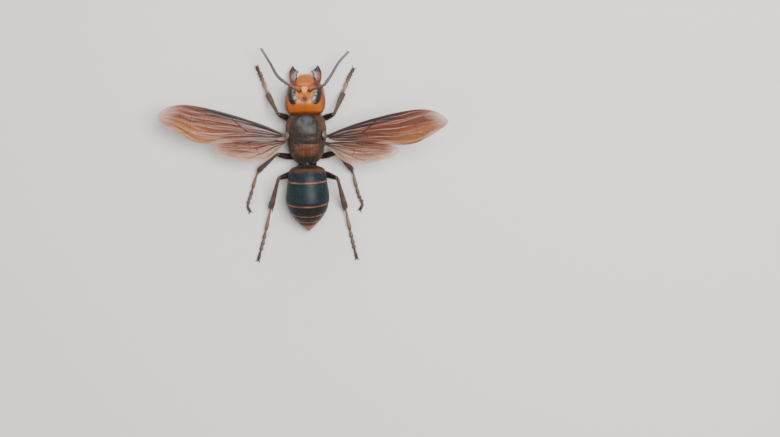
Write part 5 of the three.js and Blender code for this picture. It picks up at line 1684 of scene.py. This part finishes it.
coatHair = {
    "sunk": 0.06,  # how far below the skin a hair starts
    "middleWidth": 0.7,  # against its width at the root
    # the spike's ten faces: points 0 to 2 at the root, 3 to 5 at the middle, 6 at the tip
    "faces": [[0, 1, 4], [0, 4, 3], [1, 2, 5], [1, 5, 4], [2, 0, 3], [2, 3, 5],
              [3, 4, 6], [4, 5, 6], [5, 3, 6], [0, 2, 1]],
    # where the seven points lie on the hair's own patch of the flat map
    "patch": [[0, 0], [0.003, 0], [0.0015, 0.003], [0, 0.001], [0.003, 0.001], [0.0015, 0.002],
              [0.0015, 0.0015]],
}
coats = {
    # length in millimetres, width as the radius at the root, stand from 0 (flat) to 1 (upright)
    "thorax": {
        "count": 15000, "length": (0.42, 0.85), "width": 0.022, "stand": 0.5,
        "fringe": 900, "fringeLength": (0.3, 0.5), "fringeStand": 0.35, "fringeTone": 0.8,
        "hair": "thoraxHair", "dark": (0.040, 0.030, 0.025), "light": (0.28, 0.12, 0.05),
    },
    "gaster": {
        "count": 9000, "length": (0.18, 0.4), "width": 0.014, "stand": 0.22,
        "shares": (0.28, 0.27, 0.15, 0.1, 0.08, 0.12),  # of the hairs, for each plate
        "hair": "gasterHair", "dark": (0.05, 0.055, 0.06), "light": (0.42, 0.2, 0.09),
    },
    "head": {
        "count": 2600, "length": (0.14, 0.32), "width": 0.012, "stand": 0.45,
        "hair": "headHair", "dark": (0.30, 0.08, 0.015), "light": (0.80, 0.40, 0.10),
    },
    "legs": {
        # hairs on each piece, their length against the rest and their tone
        "thigh": (260, 0.8, 0.1), "shin": (620, 1.0, 0.25), "foot": (120, 0.75, 0.35),
        "length": (0.3, 0.62), "width": 0.02, "stand": 0.4,
        "hair": "legHair", "dark": (0.030, 0.018, 0.012), "light": (0.32, 0.19, 0.09),
    },
}


def makeCoat(piece, roots, normals, uv, lie, length, stand, tone, grey=0.0):
    # Each hair is a bent three-sided spike: two rings and a point on the curve
    # root + length (s start + s^2 / 2 (lie - start)), where start leans from lie to the normal.
    count = len(roots)
    spec = coats[piece]
    width = spec["width"]
    lie = unit(lie - normals * np.sum(lie * normals, axis=1, keepdims=True))
    start = unit(lie * (1 - stand)[:, None] + normals * stand[:, None])
    side = unit(np.cross(start, normals + 0.01))
    lift = np.cross(side, start)

    def centre(s):
        return roots + length[:, None] * (s * start + s * s / 2 * (lie - start))

    angle = np.arange(3) * 2 * math.pi / 3
    ring = side[:, None] * np.cos(angle)[None, :, None] + lift[:, None] * np.sin(angle)[None, :, None]
    low = (roots - normals * coatHair["sunk"])[:, None] + ring * width
    middle = centre(0.5)[:, None] + ring * (width * coatHair["middleWidth"])
    tip = centre(1.0)[:, None]
    places = np.concatenate([low, middle, tip], axis=1)
    pattern = np.array(coatHair["faces"])
    a, b, c = places[:, 3], places[:, 4], places[:, 6]
    outward = np.sum(np.cross(b - a, c - a) * (a - places[:, 3:6].mean(axis=1)), axis=1).mean()
    if outward < 0:
        pattern = pattern[:, ::-1]
    faces = (pattern[None] + 7 * np.arange(count)[:, None, None]).reshape(-1, 3)
    patch = (0.002 + uv[:, None] * 0.993 + np.array(coatHair["patch"])[None]).reshape(-1, 2)
    maps = {"OFBake": patch[faces.ravel()]}
    marks = {"tone": np.repeat(tone, 7), "grey": np.repeat(np.broadcast_to(grey, count), 7)}
    quads = np.zeros((0, 4), int)
    material = hairMaterial(spec["hair"], spec["dark"], spec["light"])
    finishObject("coat_" + piece, places.reshape(-1, 3), quads, faces, marks, maps, None, material)


def scatter(grid, count, seed, weight=None):
    # Random places on a closed grid, as many to each square millimetre everywhere, or by weight:
    # a cell's chance is area weight / sum, and the place in it is blended from its four corners.
    draw = np.random.default_rng(seed)
    points = grid["points"]
    normal = gridNormals(points)
    right = np.roll(points, -1, axis=1)
    a = points[:-1]
    area = np.linalg.norm(np.cross(right[:-1] - a, points[1:] - a), axis=-1)
    if weight is not None:
        area = area * weight[:-1]
    chance = area.ravel() / area.sum()
    cell = draw.choice(len(chance), count, p=chance)
    i, j = np.divmod(cell, points.shape[1])
    k = (j + 1) % points.shape[1]
    s, t = draw.random((2, count, 1))

    def blend(field):
        return (field[i, j] * (1 - s) * (1 - t) + field[i, k] * (1 - s) * t
                + field[i + 1, j] * s * (1 - t) + field[i + 1, k] * s * t)

    u = (j[:, None] + t) / points.shape[1]
    v = (i[:, None] + s) / (len(points) - 1)
    return blend(points), unit(blend(normal)), np.concatenate([u, v], axis=1), draw, (i, j)


def leaning(way, draw, count, scatterBy):
    # The way that hairs lie, way + scatterBy n, where n is drawn from the normal law.
    return np.array(way) + scatterBy * draw.standard_normal((count, 3))


def around(middle, draw, spreadBy, low=0.0, high=1.0):
    # middle + spreadBy n for each hair, held between low and high.
    return np.clip(middle + spreadBy * draw.standard_normal(len(middle)), low, high)


def hairLengths(draw, count, limits):
    # short + (long - short) r^1.3 for r drawn evenly between 0 and 1
    return limits[0] + (limits[1] - limits[0]) * draw.random(count) ** 1.3


def coatThorax():
    # Hairs over the whole skin, thinner and shorter on the scutum, redder where the skin is red,
    # and a pale fringe in the groove behind the scutellum.
    spec = coats["thorax"]
    points = thoraxGrid["points"]
    bare = 1 - 0.35 * step(-scutumGap, 0.4, 1.2) * step(points[..., 2], 6, 7)
    roots, normals, uv, draw, at = scatter(thoraxGrid, spec["count"], 31, bare)
    count = len(roots)
    lie = leaning((0.0, 1.0, -0.12), draw, count, 0.35)
    length = hairLengths(draw, count, spec["length"])
    length = length * (1 - 0.45 * step(-scutumGap[at], 0.2, 1.0) * (normals[:, 2] > 0.5))
    tone = 0.22 + 0.6 * thoraxGrid["red"][at] + 0.2 * draw.standard_normal(count)
    tone = np.clip(tone - 0.25 * step(roots[:, 1], 1.8, 2.6), 0, 1)
    stand = around(np.full(count, spec["stand"]), draw, 0.15, 0.2, 0.9)
    line = step(points[..., 2], 6.5, 7.5) * bell(points[..., 1] + 0.75, 0.1)
    line = line * step(3.4 - np.abs(points[..., 0]), 0, 0.4)
    moreRoots, moreNormals, moreUv, _, _ = scatter(thoraxGrid, spec["fringe"], 34, line)
    more = len(moreRoots)
    grey = np.concatenate([0.12 * draw.random(count), 0.55 + 0.45 * draw.random(more)])
    lie = np.concatenate([lie, leaning((0.0, 1.0, -0.2), draw, more, 0.3)])
    length = np.concatenate([length, hairLengths(draw, more, spec["fringeLength"])])
    stand = np.concatenate([stand, np.full(more, spec["fringeStand"])])
    tone = np.concatenate([tone, np.full(more, spec["fringeTone"])])
    makeCoat("thorax", np.concatenate([roots, moreRoots]),
             np.concatenate([normals, moreNormals]), np.concatenate([uv, moreUv]),
             lie, length, stand, tone, grey)


def coatGaster():
    # Short flat hairs on each plate, longer and more upright to the rear, paler on the bands.
    spec = coats["gaster"]
    parts = [scatter(grid, int(spec["count"] * share), 40 + k)
             for k, (grid, share) in enumerate(zip(gasterGrids, spec["shares"]))]
    roots = np.concatenate([p[0] for p in parts])
    normals = np.concatenate([p[1] for p in parts])
    strips = [p[2] * np.array([1, 0.16]) + np.array([0, k * 0.166]) for k, p in enumerate(parts)]
    uv = np.concatenate(strips)
    draw = np.random.default_rng(50)
    band = np.concatenate([g["band"][p[4]] + g["tip"][p[4]] for g, p in zip(gasterGrids, parts)])
    keep = roots[:, 2] > 0.3
    roots, normals, uv, band = (values[keep] for values in (roots, normals, uv, band))
    count = len(roots)
    lie = leaning((0.0, 1.0, -0.25), draw, count, 0.25)
    rear = step(roots[:, 1], 15.0, 20.0)
    length = hairLengths(draw, count, spec["length"]) * (1 + 0.9 * rear)
    stand = around(spec["stand"] + 0.25 * rear, draw, 0.08, 0.08, 0.8)
    tone = around(0.12 + 0.6 * band + 0.3 * rear, draw, 0.15)
    makeCoat("gaster", roots, normals, uv, lie, length, stand, tone)


def coatHead():
    # Fine hairs outside the eyes, longer towards the mouth, darker where the skin is dark.
    spec = coats["head"]
    clear = step(headEyeNear, 0.1, 0.25)
    roots, normals, uv, draw, at = scatter(headGrid, spec["count"], 33, clear)
    count = len(roots)
    lie = leaning((0.0, -0.6, -0.5), draw, count, 0.4)
    low = step(-headLocal[..., 1][at], 3.5, 5.4)
    length = hairLengths(draw, count, spec["length"]) * (1 + 1.1 * low)
    stand = around(np.full(count, spec["stand"]), draw, 0.15, 0.15, 0.9)
    tone = around(0.7 - 0.3 * headGrid["dark"][at], draw, 0.2)
    makeCoat("head", roots, normals, uv, lie, length, stand, tone)


def coatLegs():
    # Hairs along each thigh, shin and foot joint that lie towards its far end, each piece in its
    # own cell of the flat map, seven to a row.
    spec = coats["legs"]
    draw = np.random.default_rng(60)
    pieces = [(part, grid) for grids in legGrids.values() for part in grids for grid in grids[part]]
    rows = []
    for patch, (part, grid) in enumerate(pieces):
        count, scale, tone = spec[part]
        roots, normals, uv, _, _ = scatter(grid, count, 70 + patch)
        way = unit(grid["points"][-1].mean(axis=0) - grid["points"][0].mean(axis=0))
        rows.append((roots, normals, np.tile(way, (count, 1)), np.full(count, scale),
                     np.full(count, tone), uv * 0.14 + np.array([(patch % 7) / 7, (patch // 7) / 7])))
    roots, normals, lie, scale, tone, uv = (np.concatenate(part) for part in zip(*rows))
    keep = roots[:, 2] > 0.25
    roots, normals, lie, scale, tone, uv = (a[keep] for a in (roots, normals, lie, scale, tone, uv))
    count = len(roots)
    lie = leaning(lie, draw, count, 0.25)
    length = hairLengths(draw, count, spec["length"]) * scale
    stand = around(np.full(count, spec["stand"]), draw, 0.15, 0.15, 0.8)
    tone = around(tone, draw, 0.15)
    makeCoat("legs", roots, normals, uv, lie, length, stand, tone)


coatThorax()
coatGaster()
coatHead()
coatLegs()
print("coats ready")
